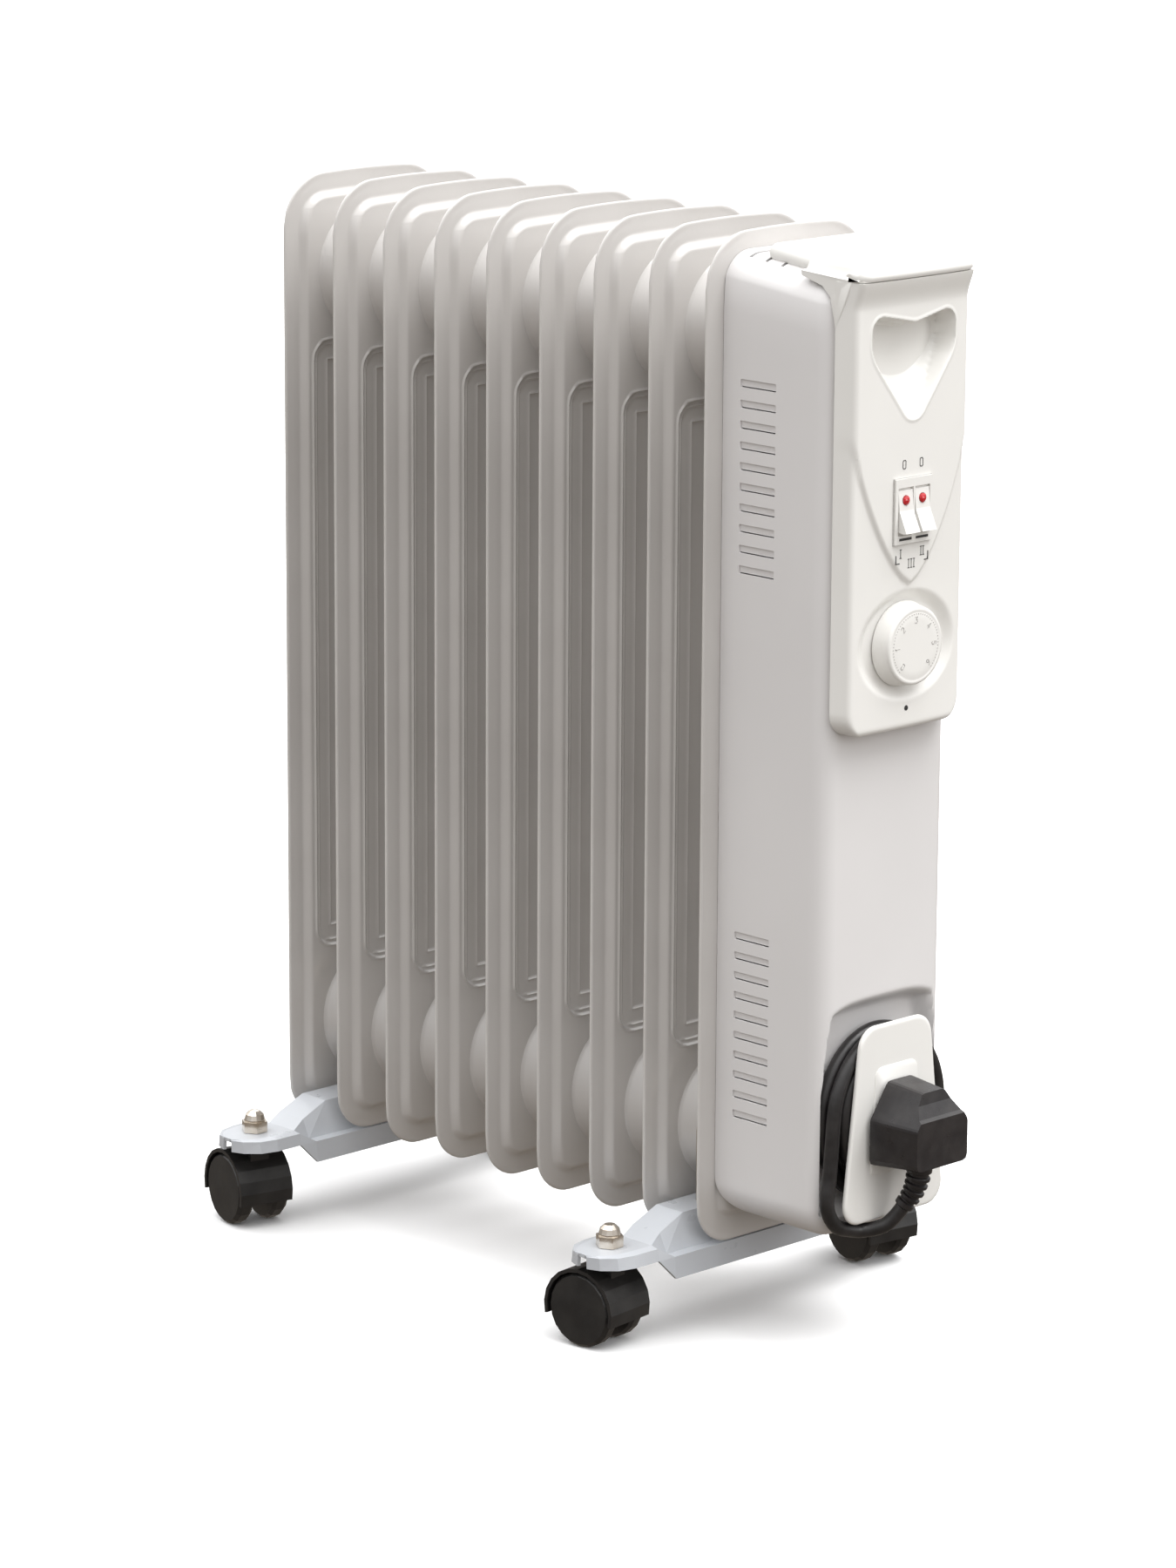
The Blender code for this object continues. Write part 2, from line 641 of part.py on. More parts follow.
def build_bracket(which):
    y = bracket_y(which)
    half = bracket_sections()
    sections = [(-x, profile) for x, profile in reversed(half[1:])] + half
    shape = bmesh.new()
    rows = []
    for x, profile in sections:
        across = [(-v, w) for v, w in reversed(profile[1:])] + profile
        rows.append([shape.verts.new((x, y + v, w)) for v, w in across])
    for row, after in zip(rows, rows[1:]):
        for k in range(len(row) - 1):
            shape.faces.new((row[k], after[k], after[k + 1], row[k + 1]))
    data = bpy.data.meshes.new(f"foot_bracket_{which}")
    shape.to_mesh(data)
    shape.free()
    bracket = add_object(f"foot_bracket_{which}", data, "foot_enamel")
    sheet = bracket.modifiers.new("sheet", "SOLIDIFY")
    sheet.thickness = BRACKET_SHEET
    sheet.offset = -1.0
    sheet.use_even_offset = True
    for side in (-1, 1):
        stem_hole = STEM_RADIUS + GAP
        cut(bracket, cylinder(f"stem_hole_{which}_{side}", stem_hole, "Z", 0.04, 0.07,
                              (side * CASTOR_X, y, 0)))
        bolt_hole = U_BOLT_RADIUS + GAP
        cut(bracket, cylinder(f"bolt_hole_{which}_{side}", bolt_hole, "Z", 0.04, 0.08,
                              (side * U_BOLT_HALF_SPAN, y, 0)))


def bracket_y(which):
    """A bracket sits between the first two fins from its end of the stack."""
    return STACK_Y + (STACK_HALF - FIN_PITCH / 2) * (1 if which == "rear" else -1)


def build_u_bolt(which):
    y, z = bracket_y(which), HEADER_Z["bottom"]
    route = [Vector((-U_BOLT_HALF_SPAN, y, U_BOLT_END_Z))]
    for step in range(9):
        angle = math.pi * step / 8
        route.append(Vector((-U_BOLT_HALF_SPAN * math.cos(angle), y, z + U_BOLT_HALF_SPAN * math.sin(angle))))
    route += [Vector((U_BOLT_HALF_SPAN, y, U_BOLT_END_Z))]
    swept(f"u_bolt_{which}", route, [U_BOLT_RADIUS] * len(route), 8, "nickel")
    top = BRACKET_RIDGE_Z - BRACKET_SHEET - GAP
    for side, word in ((-1, "left"), (1, "right")):
        x = side * U_BOLT_HALF_SPAN
        hole = U_BOLT_RADIUS + GAP
        name = f"wing_nut_{which}_{word}"
        nut = turned(name, [(hole, top), (0.0055, top), (0.0055, top - WING_NUT_HEIGHT),
                            (hole, top - WING_NUT_HEIGHT)], "Z", (x, y, 0), 10, "nickel")
        wings = [(0.0045, top - WING_NUT_HEIGHT + 0.001), (0.0045, top - 0.001), (0.0110, top - 0.0075),
                 (0.0115, top - 0.0105), (0.0095, top - 0.0115)]
        for turn in (-1, 1):
            blade = prism(f"{name}_wing_{turn}", [(x + turn * u, v) for u, v in wings], "Y",
                          y - WING_THICKNESS / 2, y + WING_THICKNESS / 2)
            join(nut, blade)


def build_castor(name):
    side, which, swivel = CASTORS[name]
    stem = bpy.data.objects.new(f"castor_{name}_swivel", None)
    bpy.context.scene.collection.objects.link(stem)
    stem.location = (side * CASTOR_X, bracket_y(which), 0)
    stem.rotation_euler = (0, 0, math.radians(swivel))
    axle = bpy.data.objects.new(f"castor_{name}_axle", None)
    bpy.context.scene.collection.objects.link(axle)
    axle.parent = stem
    axle.location = (0, CASTOR_TRAIL, WHEEL_RADIUS)
    for piece in build_hood(name):
        piece.parent = axle
    wheels = build_wheels(name)
    wheels.parent = axle
    build_stem_and_nut(name, stem.location)


def build_hood(name):
    """The hood, about its axle: a shell over both wheels and a web between them, with the stem socket."""
    start, end = math.radians(HOOD_START_DEG), math.radians(180 - HOOD_START_DEG)
    count = 12

    def arc(radius, first, last):
        return [(radius * math.cos(first + (last - first) * k / count),
                 radius * math.sin(first + (last - first) * k / count)) for k in range(count + 1)]

    band = arc(HOOD_RADIUS, start, end) + arc(HOOD_RADIUS - HOOD_WALL, end, start)
    hood = prism(f"castor_{name}_hood", band, "X", -CASTOR_WIDTH / 2, CASTOR_WIDTH / 2, "castor_plastic")
    web = arc(HOOD_RADIUS - HOOD_WALL / 2, start, end) + [(-0.009, -0.0085), (0.009, -0.0085)]
    web_piece = prism(f"castor_{name}_web", web, "X", -CASTOR_WEB / 2, CASTOR_WEB / 2)
    socket_top = BRACKET_SKIRT_Z - 0.0032 - WHEEL_RADIUS
    half = CASTOR_WEB / 2 - 0.0003
    socket = box(f"castor_{name}_socket", (-half, -CASTOR_TRAIL - half, 0.0),
                 (half, -CASTOR_TRAIL + half, socket_top))
    axle_hole = cylinder(f"castor_{name}_axle_hole", AXLE_RADIUS + RUNNING_GAP, "X", -0.02, 0.02)
    stem_hole = cylinder(f"castor_{name}_stem_hole", STEM_RADIUS + RUNNING_GAP, "Z", 0.003, 0.04,
                         (0, -CASTOR_TRAIL, 0))
    join(hood, web_piece)
    join(hood, socket)
    cut(hood, axle_hole)
    cut(hood, stem_hole)
    return [hood, web_piece, socket, axle_hole, stem_hole]


def build_wheels(name):
    """Two wheels on one axle, turned as one piece about X."""
    inner = CASTOR_WEB / 2 + RUNNING_GAP
    outer = CASTOR_WIDTH / 2
    half = [(AXLE_RADIUS, inner), (WHEEL_RADIUS - 0.0015, inner), (WHEEL_RADIUS, inner + 0.002),
            (WHEEL_RADIUS, outer - 0.003), (WHEEL_RADIUS - 0.002, outer - 0.0005), (0, outer)]
    profile = [(radius, -along) for radius, along in reversed(half)] + half
    return turned(f"castor_{name}_wheels", profile, "X", (0, 0, 0), 20, "castor_plastic")


def build_stem_and_nut(name, at):
    low = WHEEL_RADIUS + 0.006
    under = BRACKET_END_Z - BRACKET_SHEET - GAP
    seat = BRACKET_END_Z + GAP
    top = seat + NUT_HEX_HEIGHT + 0.001
    turned(f"castor_{name}_stem", [(0, low), (STEM_RADIUS, low), (STEM_RADIUS, under - 0.0060),
                                   (STEM_COLLAR_RADIUS, under - 0.0060), (STEM_COLLAR_RADIUS, under),
                                   (STEM_RADIUS, under), (STEM_RADIUS, top), (0, top)],
           "Z", (at.x, at.y, 0), 12, "steel")
    corner = NUT_FLATS / 2 / math.cos(math.pi / 6)
    nut = prism(f"cap_nut_{name}", [(at.x + u, at.y + v) for u, v in circle(corner, 6)], "Z",
                seat, seat + NUT_HEX_HEIGHT, "nickel")
    dome = [(0, seat + NUT_HEX_HEIGHT / 2), (NUT_DOME_RADIUS, seat + NUT_HEX_HEIGHT / 2),
            (NUT_DOME_RADIUS, seat + NUT_HEX_HEIGHT + 0.001)]
    for k in (1, 2, 3):
        angle = math.pi / 2 * k / 3
        dome.append((NUT_DOME_RADIUS * math.cos(angle),
                     seat + NUT_HEX_HEIGHT + 0.001 + (NUT_DOME_HEIGHT - 0.001) * math.sin(angle)))
    dome[-1] = (0, dome[-1][1])
    join(nut, turned(f"cap_nut_{name}_dome", dome, "Z", (at.x, at.y, 0), 12))
    cut(nut, cylinder(f"cap_nut_{name}_bore", STEM_RADIUS + GAP, "Z", seat - 0.002, top + GAP,
                      (at.x, at.y, 0)))


# ---------------------------------------------------------------- housing cover
def cover_block(name, wall, back_y, edge):
    """The cover's outer (wall 0) or inner shape: a rounded box whose top falls towards the front."""
    half = COVER_HALF_WIDTH - wall
    low, high = COVER_BOTTOM_Z + wall, COVER_TOP_Z - wall
    front_y = COVER_FRONT_Y + wall
    corner = COVER_CORNER - wall
    shape = prism_shape(rounded_box(half, low, high, corner, 4), "Y", front_y, back_y)
    front_edges = [e for e in shape.edges if all(abs(v.co.y - front_y) < 1e-6 for v in e.verts)]
    bmesh.ops.bevel(shape, geom=front_edges, offset=edge, segments=3, profile=0.5, affect="EDGES")
    for vert in shape.verts:
        share = (COVER_BACK_Y - vert.co.y) / COVER_DEPTH
        vert.co.z -= COVER_FRONT_DROP * share * (vert.co.z - low) / (high - low)
    return mesh_object(name, shape, None)


def store_outline(grow):
    """The recess for the wound lead: wide at the level of the coil, narrower at the top."""
    half, top_half = STORE_HALF_WIDTH + grow, STORE_TOP_HALF_WIDTH + grow
    low, high = STORE_BOTTOM_Z - grow, STORE_TOP_Z + grow
    return fillet([(-half, low, 0.010), (half, low, 0.010), (half, COIL_CENTRE_Z + 0.012, 0.03),
                   (top_half, high, 0.018), (-top_half, high, 0.018),
                   (-half, COIL_CENTRE_Z + 0.012, 0.03)], 3)


def slot_boxes():
    """One cutter with a box for each louvre slot, right through both sides."""
    shape = bmesh.new()
    middle_y = FRONT_FIN_Y - SLOT_FROM_FIN
    for first_z in (UPPER_SLOTS_Z, LOWER_SLOTS_Z):
        for k in range(SLOT_COUNT):
            place_at = Matrix.Translation((0, middle_y, first_z - k * SLOT_PITCH))
            size = Matrix.Diagonal((COVER_HALF_WIDTH * 2 + 0.02, SLOT_LENGTH, SLOT_HEIGHT, 1))
            bmesh.ops.create_cube(shape, size=1.0, matrix=place_at @ size)
    return mesh_object("louvre_cutter", shape, None)


def vent_boxes():
    shape = bmesh.new()
    for k in range(TOP_VENT_COUNT):
        place_at = Matrix.Translation((0, COVER_BACK_Y - 0.009 - k * TOP_VENT_PITCH, COVER_TOP_Z))
        size = Matrix.Diagonal((TOP_VENT_LENGTH, TOP_VENT_WIDTH, 0.040, 1))
        bmesh.ops.create_cube(shape, size=1.0, matrix=place_at @ size)
    return mesh_object("top_vent_cutter", shape, None)


def build_cover():
    cover = cover_block("housing_cover", 0.0, COVER_BACK_Y, COVER_EDGE)
    cover.data.materials.append(material("cover_enamel"))
    cut(cover, cover_block("cover_inside", COVER_WALL, COVER_BACK_Y + 0.02, COVER_EDGE - COVER_WALL))
    pocket = prism("store_pocket", store_outline(STORE_WALL), "Y", COVER_FRONT_Y + COVER_WALL / 2,
                   STORE_FLOOR_Y + 0.0015)
    within = COVER_WALL / 3
    boolean(pocket, helper(cover_block("pocket_limit", within, COVER_BACK_Y - within, COVER_EDGE - within)),
            "INTERSECT")
    join(cover, pocket)
    cut(cover, prism("store_recess", store_outline(0.0), "Y", COVER_FRONT_Y - 0.01, STORE_FLOOR_Y))
    cut(cover, rear_corner_cutter())
    cut(cover, slot_boxes())
    cut(cover, vent_boxes())
    cut(cover, box("panel_opening", (-PANEL_OPENING_HALF_WIDTH, COVER_FRONT_Y - 0.01, PANEL_OPENING_LOW_Z),
                   (PANEL_OPENING_HALF_WIDTH, COVER_FRONT_Y + 0.006, PANEL_OPENING_HIGH_Z)))
    cut(cover, cylinder("gland_hole", GLAND_RADIUS + GAP, "Y", STORE_FLOOR_Y - 0.01, STORE_FLOOR_Y + 0.01,
                        (GLAND_X, 0, GLAND_Z)))


def rear_corner_cutter():
    """Trims the lower rear corner to an arc, seen from the side."""
    radius = COVER_REAR_CORNER
    low, back = COVER_BOTTOM_Z, COVER_BACK_Y
    arc = [(back - radius + radius * math.sin(math.pi / 2 * k / 5),
            low + radius - radius * math.cos(math.pi / 2 * k / 5)) for k in range(6)]
    outline = [(back - radius, low - 0.01), (back + 0.01, low - 0.01), (back + 0.01, low + radius)]
    return prism("rear_corner_cutter", outline + arc[::-1], "X", -COVER_HALF_WIDTH - 0.01,
                 COVER_HALF_WIDTH + 0.01)


def build_cover_bracket():
    """An angle on the fin, beside its lower header, that holds the cover's lower edge."""
    back = FRONT_FIN_Y - FIN_BULGE - GAP
    low = COVER_BOTTOM_Z + COVER_WALL + GAP
    thick = 0.0015
    outline = [(back, low), (back, low + 0.0065), (back - thick, low + 0.0065), (back - thick, low + thick),
               (back - 0.040, low + thick), (back - 0.040, low)]
    prism("cover_bracket", outline, "X", COVER_BRACKET_X, COVER_BRACKET_X + COVER_BRACKET_WIDTH, "steel",
          smooth=False)


# ---------------------------------------------------------------- control panel
def heart_outline(grow):
    """The finger recess: two shoulders with a shallow dip between them, and a rounded tip."""
    half, high, tip = RECESS_HALF_WIDTH + grow, RECESS_TOP_Z + grow, RECESS_TIP_Z - grow
    return fillet([(0, tip, 0.009), (half, high - 0.020, 0.020), (half - 0.002, high, 0.007),
                   (0, high - RECESS_DIP, 0.012), (-half + 0.002, high, 0.007),
                   (-half, high - 0.020, 0.020)], 3)


def field_outline():
    """The raised field: full width above its shoulders, then narrowing in a shield to the tip."""
    half = PANEL_HALF_WIDTH + 0.002
    depth = FIELD_SHOULDER_Z - FIELD_TIP_Z
    edge = [(half * (1 - (k / 6) ** 1.55) ** 0.72, FIELD_SHOULDER_Z - depth * k / 6) for k in range(6)]
    right = [(half, PANEL_TOP_Z - 0.008)] + edge
    return right + [(0.0, FIELD_TIP_Z)] + [(-u, v) for u, v in reversed(right)]


def panel_profile():
    """The side view (y, z) of the panel: front, lip, top cap over the cover, and back."""
    cap_back = PANEL_BACK_Y + PANEL_CAP_LENGTH
    fall = COVER_FRONT_DROP / COVER_DEPTH
    cover_top = COVER_TOP_Z - fall * (COVER_BACK_Y - cap_back)
    cover_top_front = COVER_TOP_Z - COVER_FRONT_DROP
    return [(PANEL_BACK_Y, PANEL_BOTTOM_Z), (PANEL_LOW_FACE_Y + 0.002, PANEL_BOTTOM_Z),
            (PANEL_LOW_FACE_Y, PANEL_BOTTOM_Z + 0.003), (PANEL_LOW_FACE_Y, PANEL_TOP_Z - 0.010),
            (PANEL_FACE_Y - PANEL_LIP, PANEL_TOP_Z - 0.004), (PANEL_FACE_Y - PANEL_LIP, PANEL_TOP_Z),
            (PANEL_FACE_Y - 0.002, PANEL_TOP_Z + 0.0015), (cap_back, cover_top + 0.0045),
            (cap_back, cover_top + GAP), (PANEL_BACK_Y, cover_top_front + GAP)]


def draft(shape):
    """Narrows the panel towards its front."""
    for vert in shape.verts:
        share = min(1.0, max(0.0, (PANEL_BACK_Y - vert.co.y) / PANEL_DEPTH))
        vert.co.x *= 1 - share * PANEL_DRAFT / PANEL_HALF_WIDTH


def build_panel():
    shape = prism_shape(panel_profile(), "X", -PANEL_HALF_WIDTH, PANEL_HALF_WIDTH)
    draft(shape)
    panel = mesh_object("control_panel", shape, "panel_plastic")
    inner_half = PANEL_OPENING_HALF_WIDTH - GAP
    cut(panel, box("panel_hollow", (-inner_half, PANEL_LOW_FACE_Y + PANEL_WALL, PANEL_OPENING_LOW_Z),
                   (inner_half, PANEL_BACK_Y + 0.01, PANEL_OPENING_HIGH_Z)))
    field = prism_shape(field_outline(), "Y", PANEL_FACE_Y, PANEL_LOW_FACE_Y + PANEL_WALL / 2)
    for vert in field.verts:
        side_limit = PANEL_HALF_WIDTH - PANEL_DRAFT
        vert.co.x = max(-side_limit, min(side_limit, vert.co.x))
    join(panel, mesh_object("raised_field", field, None))
    join(panel, prism("recess_cup", heart_outline(RECESS_WALL), "Y", PANEL_LOW_FACE_Y + PANEL_WALL / 2,
                      PANEL_FACE_Y + RECESS_DEPTH + RECESS_WALL))
    dish_back = DISH_FLOOR_Y + PANEL_WALL
    dish_squash = DISH_HALF_HEIGHT / DISH_HALF_WIDTH
    join(panel, prism("dish_pad", circle(DISH_HALF_WIDTH, 20, v=KNOB_Z, squash=dish_squash), "Y",
                      PANEL_LOW_FACE_Y + PANEL_WALL / 2, dish_back))
    cut(panel, prism("recess_hollow", heart_outline(0.0), "Y", PANEL_FACE_Y - 0.01,
                     PANEL_FACE_Y + RECESS_DEPTH))
    cut(panel, dish_cutter())
    half_w, half_h = SWITCH_WIDTH / 2 - 0.001, SWITCH_HEIGHT / 2 - 0.001
    cut(panel, box("switch_opening", (-half_w, PANEL_FACE_Y - 0.01, SWITCH_Z - half_h),
                   (half_w, PANEL_FACE_Y + 0.01, SWITCH_Z + half_h)))
    cut(panel, cylinder("shaft_hole", SHAFT_RADIUS + RUNNING_GAP, "Y", PANEL_FACE_Y - 0.01,
                        dish_back + 0.01, (0, 0, KNOB_Z)))


def dish_cutter():
    """A shallow oval bowl in front of the dish floor, its sides sloping out to the panel's surface."""
    shape = bmesh.new()
    squash = DISH_HALF_HEIGHT / DISH_HALF_WIDTH
    levels = ((0.027, DISH_FLOOR_Y, 1.0), (DISH_HALF_WIDTH - 0.002, PANEL_LOW_FACE_Y, squash),
              (DISH_HALF_WIDTH, PANEL_LOW_FACE_Y - 0.010, squash))
    rings = [[shape.verts.new((u, y, v)) for u, v in circle(radius, 20, v=KNOB_Z, squash=flat)]
             for radius, y, flat in levels]
    shape.faces.new(rings[0])
    shape.faces.new(rings[-1])
    for ring, after in zip(rings, rings[1:]):
        bridge(shape, ring, after)
    return mesh_object("dish_cutter", shape, None)


def build_grip():
    fall = COVER_FRONT_DROP / COVER_DEPTH
    front = PANEL_BACK_Y + PANEL_CAP_LENGTH + 2 * GAP
    back = front + GRIP_LENGTH

    def cover_top(y):
        return COVER_TOP_Z - fall * (COVER_BACK_Y - y) + GAP

    profile = [(front, cover_top(front)), (front, cover_top(front) + 0.6 * GRIP_THICKNESS),
               (front + 0.003, cover_top(front) + GRIP_THICKNESS),
               (back - 0.003, cover_top(back) + GRIP_THICKNESS),
               (back, cover_top(back) + 0.6 * GRIP_THICKNESS), (back, cover_top(back))]
    prism("grip_pad", profile, "X", -GRIP_HALF_WIDTH, GRIP_HALF_WIDTH, "panel_plastic")


# ---------------------------------------------------------------- switches
def build_switches():
    half_w, half_h = SWITCH_WIDTH / 2, SWITCH_HEIGHT / 2
    body = box("switch_body", (-half_w, SWITCH_FRONT_Y, SWITCH_Z - half_h),
               (half_w, SWITCH_FRONT_Y + SWITCH_RIM, SWITCH_Z + half_h), "panel_plastic")
    inset = 0.001 + GAP
    join(body, box("switch_block",
                   (-half_w + inset, SWITCH_FRONT_Y + SWITCH_RIM / 2, SWITCH_Z - half_h + inset),
                   (half_w - inset, SWITCH_FRONT_Y + SWITCH_DEPTH, SWITCH_Z + half_h - inset)))
    for side, word in ((-1, "left"), (1, "right")):
        x = side * ROCKER_SPACING / 2
        well = ROCKER_WIDTH / 2 + RUNNING_GAP
        cut(body, box(f"well_{word}", (x - well, SWITCH_FRONT_Y - 0.01, SWITCH_Z - ROCKER_WELL_HALF_HEIGHT),
                      (x + well, ROCKER_PIVOT_Y + 0.009, SWITCH_Z + ROCKER_WELL_HALF_HEIGHT)))
        build_rocker(word, x)


def build_rocker(word, x):
    """A rocker about its pivot, resting at 0: its top is flush and its foot stands proud."""
    pivot = bpy.data.objects.new(f"rocker_{word}_pivot", None)
    bpy.context.scene.collection.objects.link(pivot)
    pivot.location = (x, ROCKER_PIVOT_Y, SWITCH_Z)
    h = ROCKER_HALF_HEIGHT
    profile = [(-0.0040, h), (-0.0050, 0.0005), (-0.0105, -h + 0.0005), (-0.0085, -h),
               (0.0010, -h + 0.0015), (0.0050, -0.004), (0.0050, 0.004), (0.0010, h - 0.001)]
    rocker = prism(f"rocker_{word}", profile, "X", -ROCKER_WIDTH / 2, ROCKER_WIDTH / 2, "panel_plastic")
    lens_z = h * LENS_HEIGHT_SHARE
    lens_y = -0.0045
    lens_back = lens_y + 0.0015
    hole = cylinder(f"lens_hole_{word}", LENS_RADIUS + GAP, "Y", lens_y - 0.004, lens_back + GAP,
                    (0, 0, lens_z), 12)
    cut(rocker, hole)
    lens = turned(f"lens_{word}", [(0, lens_back), (LENS_RADIUS, lens_back), (LENS_RADIUS, lens_y - 0.0006),
                                   (LENS_RADIUS * 0.6, lens_y - 0.0013), (0, lens_y - 0.0016)],
                  "Y", (0, 0, lens_z), 12, "lens_red")
    for piece in (rocker, hole, lens):
        piece.parent = pivot


# ---------------------------------------------------------------- thermostat
def build_thermostat():
    body_front = DISH_FLOOR_Y + PANEL_WALL + GAP
    half_w, half_h = THERMOSTAT_WIDTH / 2, THERMOSTAT_HEIGHT / 2
    body = box("thermostat_body", (-half_w, body_front, KNOB_Z - half_h),
               (half_w, body_front + THERMOSTAT_DEPTH, KNOB_Z + half_h), "inner_plastic")
    cut(body, cylinder("thermostat_socket", SHAFT_RADIUS + RUNNING_GAP, "Y", body_front - 0.01,
                       body_front + 0.008, (0, 0, KNOB_Z)))
    axis = bpy.data.objects.new("knob_axis", None)
    bpy.context.scene.collection.objects.link(axis)
    axis.location = (0, KNOB_FACE_Y, KNOB_Z)
    back = DISH_FLOOR_Y - KNOB_FACE_Y - 0.0010
    bore = SHAFT_RADIUS + GAP
    knob = turned("thermostat_knob", [(0, 0), (KNOB_RADIUS - 0.001, 0), (KNOB_RADIUS, 0.001),
                                      (KNOB_BASE_RADIUS, back), (bore, back), (bore, 0.003), (0, 0.003)],
                  "Y", (0, 0, 0), 28, "panel_plastic")
    shaft = cylinder("thermostat_shaft", SHAFT_RADIUS, "Y", 0.003 + GAP, body_front + 0.007 - KNOB_FACE_Y,
                     (0, 0, 0), 12, "brass")
    for piece in (knob, shaft):
        piece.parent = axis


def build_inner_parts():
    face = FRONT_FIN_Y - FIN_BULGE - GAP
    turned("thermal_cutout", [(0, 0), (0.009, 0), (0.009, -0.005), (0.006, -0.005), (0.006, -0.009),
                              (0, -0.009)], "Y", (0, face, CUTOUT_Z), 12, "steel")
    box("terminal_block", (-TERMINAL_HALF_WIDTH, face - TERMINAL_DEPTH, TERMINAL_TOP_Z - TERMINAL_HEIGHT),
        (TERMINAL_HALF_WIDTH, face, TERMINAL_TOP_Z), "inner_plastic")
    switch_back = SWITCH_FRONT_Y + SWITCH_DEPTH
    route = smooth_route([(0.0, switch_back + GAP, SWITCH_Z), (0.0, switch_back + 0.010, SWITCH_Z),
                          (0.004, switch_back + 0.030, SWITCH_Z - 0.040), (0.008, face - 0.020, 0.400),
                          (0.006, face - 0.012, 0.345), (0.005, face - 0.008, TERMINAL_TOP_Z + 0.012),
                          (0.005, face - 0.008, TERMINAL_TOP_Z + GAP)], 0.018)
    cord_tube("wiring_loom", route, LOOM_DIAMETER, "wire_silicone")


# ---------------------------------------------------------------- lead and winder
def build_gland():
    """A bush in the recess floor, where the lead comes out behind the coil."""
    turned("cord_gland", [(GLAND_FLANGE_RADIUS, STORE_FLOOR_Y - GAP - GLAND_FLANGE),
                          (GLAND_FLANGE_RADIUS, STORE_FLOOR_Y - GAP),
                          (GLAND_RADIUS, STORE_FLOOR_Y - GAP), (GLAND_RADIUS, STORE_FLOOR_Y + 0.008),
                          (CORD_DIAMETER / 2 + GAP, STORE_FLOOR_Y + 0.008),
                          (CORD_DIAMETER / 2 + GAP, STORE_FLOOR_Y - GAP - GLAND_FLANGE)],
           "Y", (GLAND_X, 0, GLAND_Z), 12, "inner_plastic")


def build_winder():
    """A hollow hub that the lead is wound on, with a plate in front that keeps it there."""
    plate = fillet([(-WINDER_BOTTOM_HALF_WIDTH, WINDER_BOTTOM_Z, 0.013),
                    (WINDER_BOTTOM_HALF_WIDTH, WINDER_BOTTOM_Z, 0.013),
                    (WINDER_TOP_HALF_WIDTH, WINDER_TOP_Z, 0.014),
                    (-WINDER_TOP_HALF_WIDTH, WINDER_TOP_Z, 0.014)], 4)
    winder = prism("cord_winder", plate, "Y", PLATE_FRONT_Y, PLATE_BACK_Y, "panel_plastic")
    join(winder, prism("winder_hub", obround(HUB_RADIUS, COIL_STRAIGHT_HALF, COIL_CENTRE_Z), "Y",
                       PLATE_BACK_Y - WINDER_PLATE / 2, STORE_FLOOR_Y - GAP))
    hollow_radius = HUB_RADIUS - WINDER_WALL
    cut(winder, prism("hub_hollow", obround(hollow_radius, COIL_STRAIGHT_HALF, COIL_CENTRE_Z), "Y",
                      PLATE_BACK_Y, STORE_FLOOR_Y + 0.01))
    for name, x, z, half_w, half_h, _ in plug_pins():
        slot = 0.0004
        cut(winder, box(f"{name}_hole", (x - half_w - slot, PLATE_FRONT_Y - 0.01, z - half_h - slot),
                        (x + half_w + slot, PLATE_BACK_Y + 0.003, z + half_h + slot)))


def build_coil():
    coil = prism("cord_coil", obround(COIL_END_RADIUS, COIL_STRAIGHT_HALF, COIL_CENTRE_Z, 9), "Y",
                 COIL_BACK_Y - COIL_DEPTH, COIL_BACK_Y, "lead_rubber")
    cut(coil, prism("coil_hollow", obround(COIL_INNER_RADIUS, COIL_STRAIGHT_HALF, COIL_CENTRE_Z, 7), "Y",
                    COIL_BACK_Y - COIL_DEPTH - 0.01, COIL_BACK_Y + 0.01))


def build_lead():
    relief = smooth_route(STRAIN_RELIEF_POINTS, 0.004)
    count = len(relief) - 1
    taper = RELIEF_START_RADIUS - RELIEF_END_RADIUS
    radii = [RELIEF_START_RADIUS - taper * k / count for k in range(count + 1)]
    swept("plug_strain_relief", relief, radii, 12, "plug_plastic")
    cord_tube("cord_tail", smooth_route(TAIL_POINTS, 0.008), CORD_DIAMETER, "lead_rubber")


# ---------------------------------------------------------------- plug
def plug_pins():
    """(name, x, z, half width, half height, length) of each pin of a three pin rectangular pin plug."""
    half = PIN_SPACING / 2
    return [("plug_pin_line", -half, LIVE_PIN_Z, 0.0032, 0.0020, LIVE_PIN_LENGTH),
            ("plug_pin_neutral", half, LIVE_PIN_Z, 0.0032, 0.0020, LIVE_PIN_LENGTH),
            ("plug_pin_earth", 0.0, LIVE_PIN_Z + PIN_SPACING, 0.0020, 0.0040, EARTH_PIN_LENGTH)]


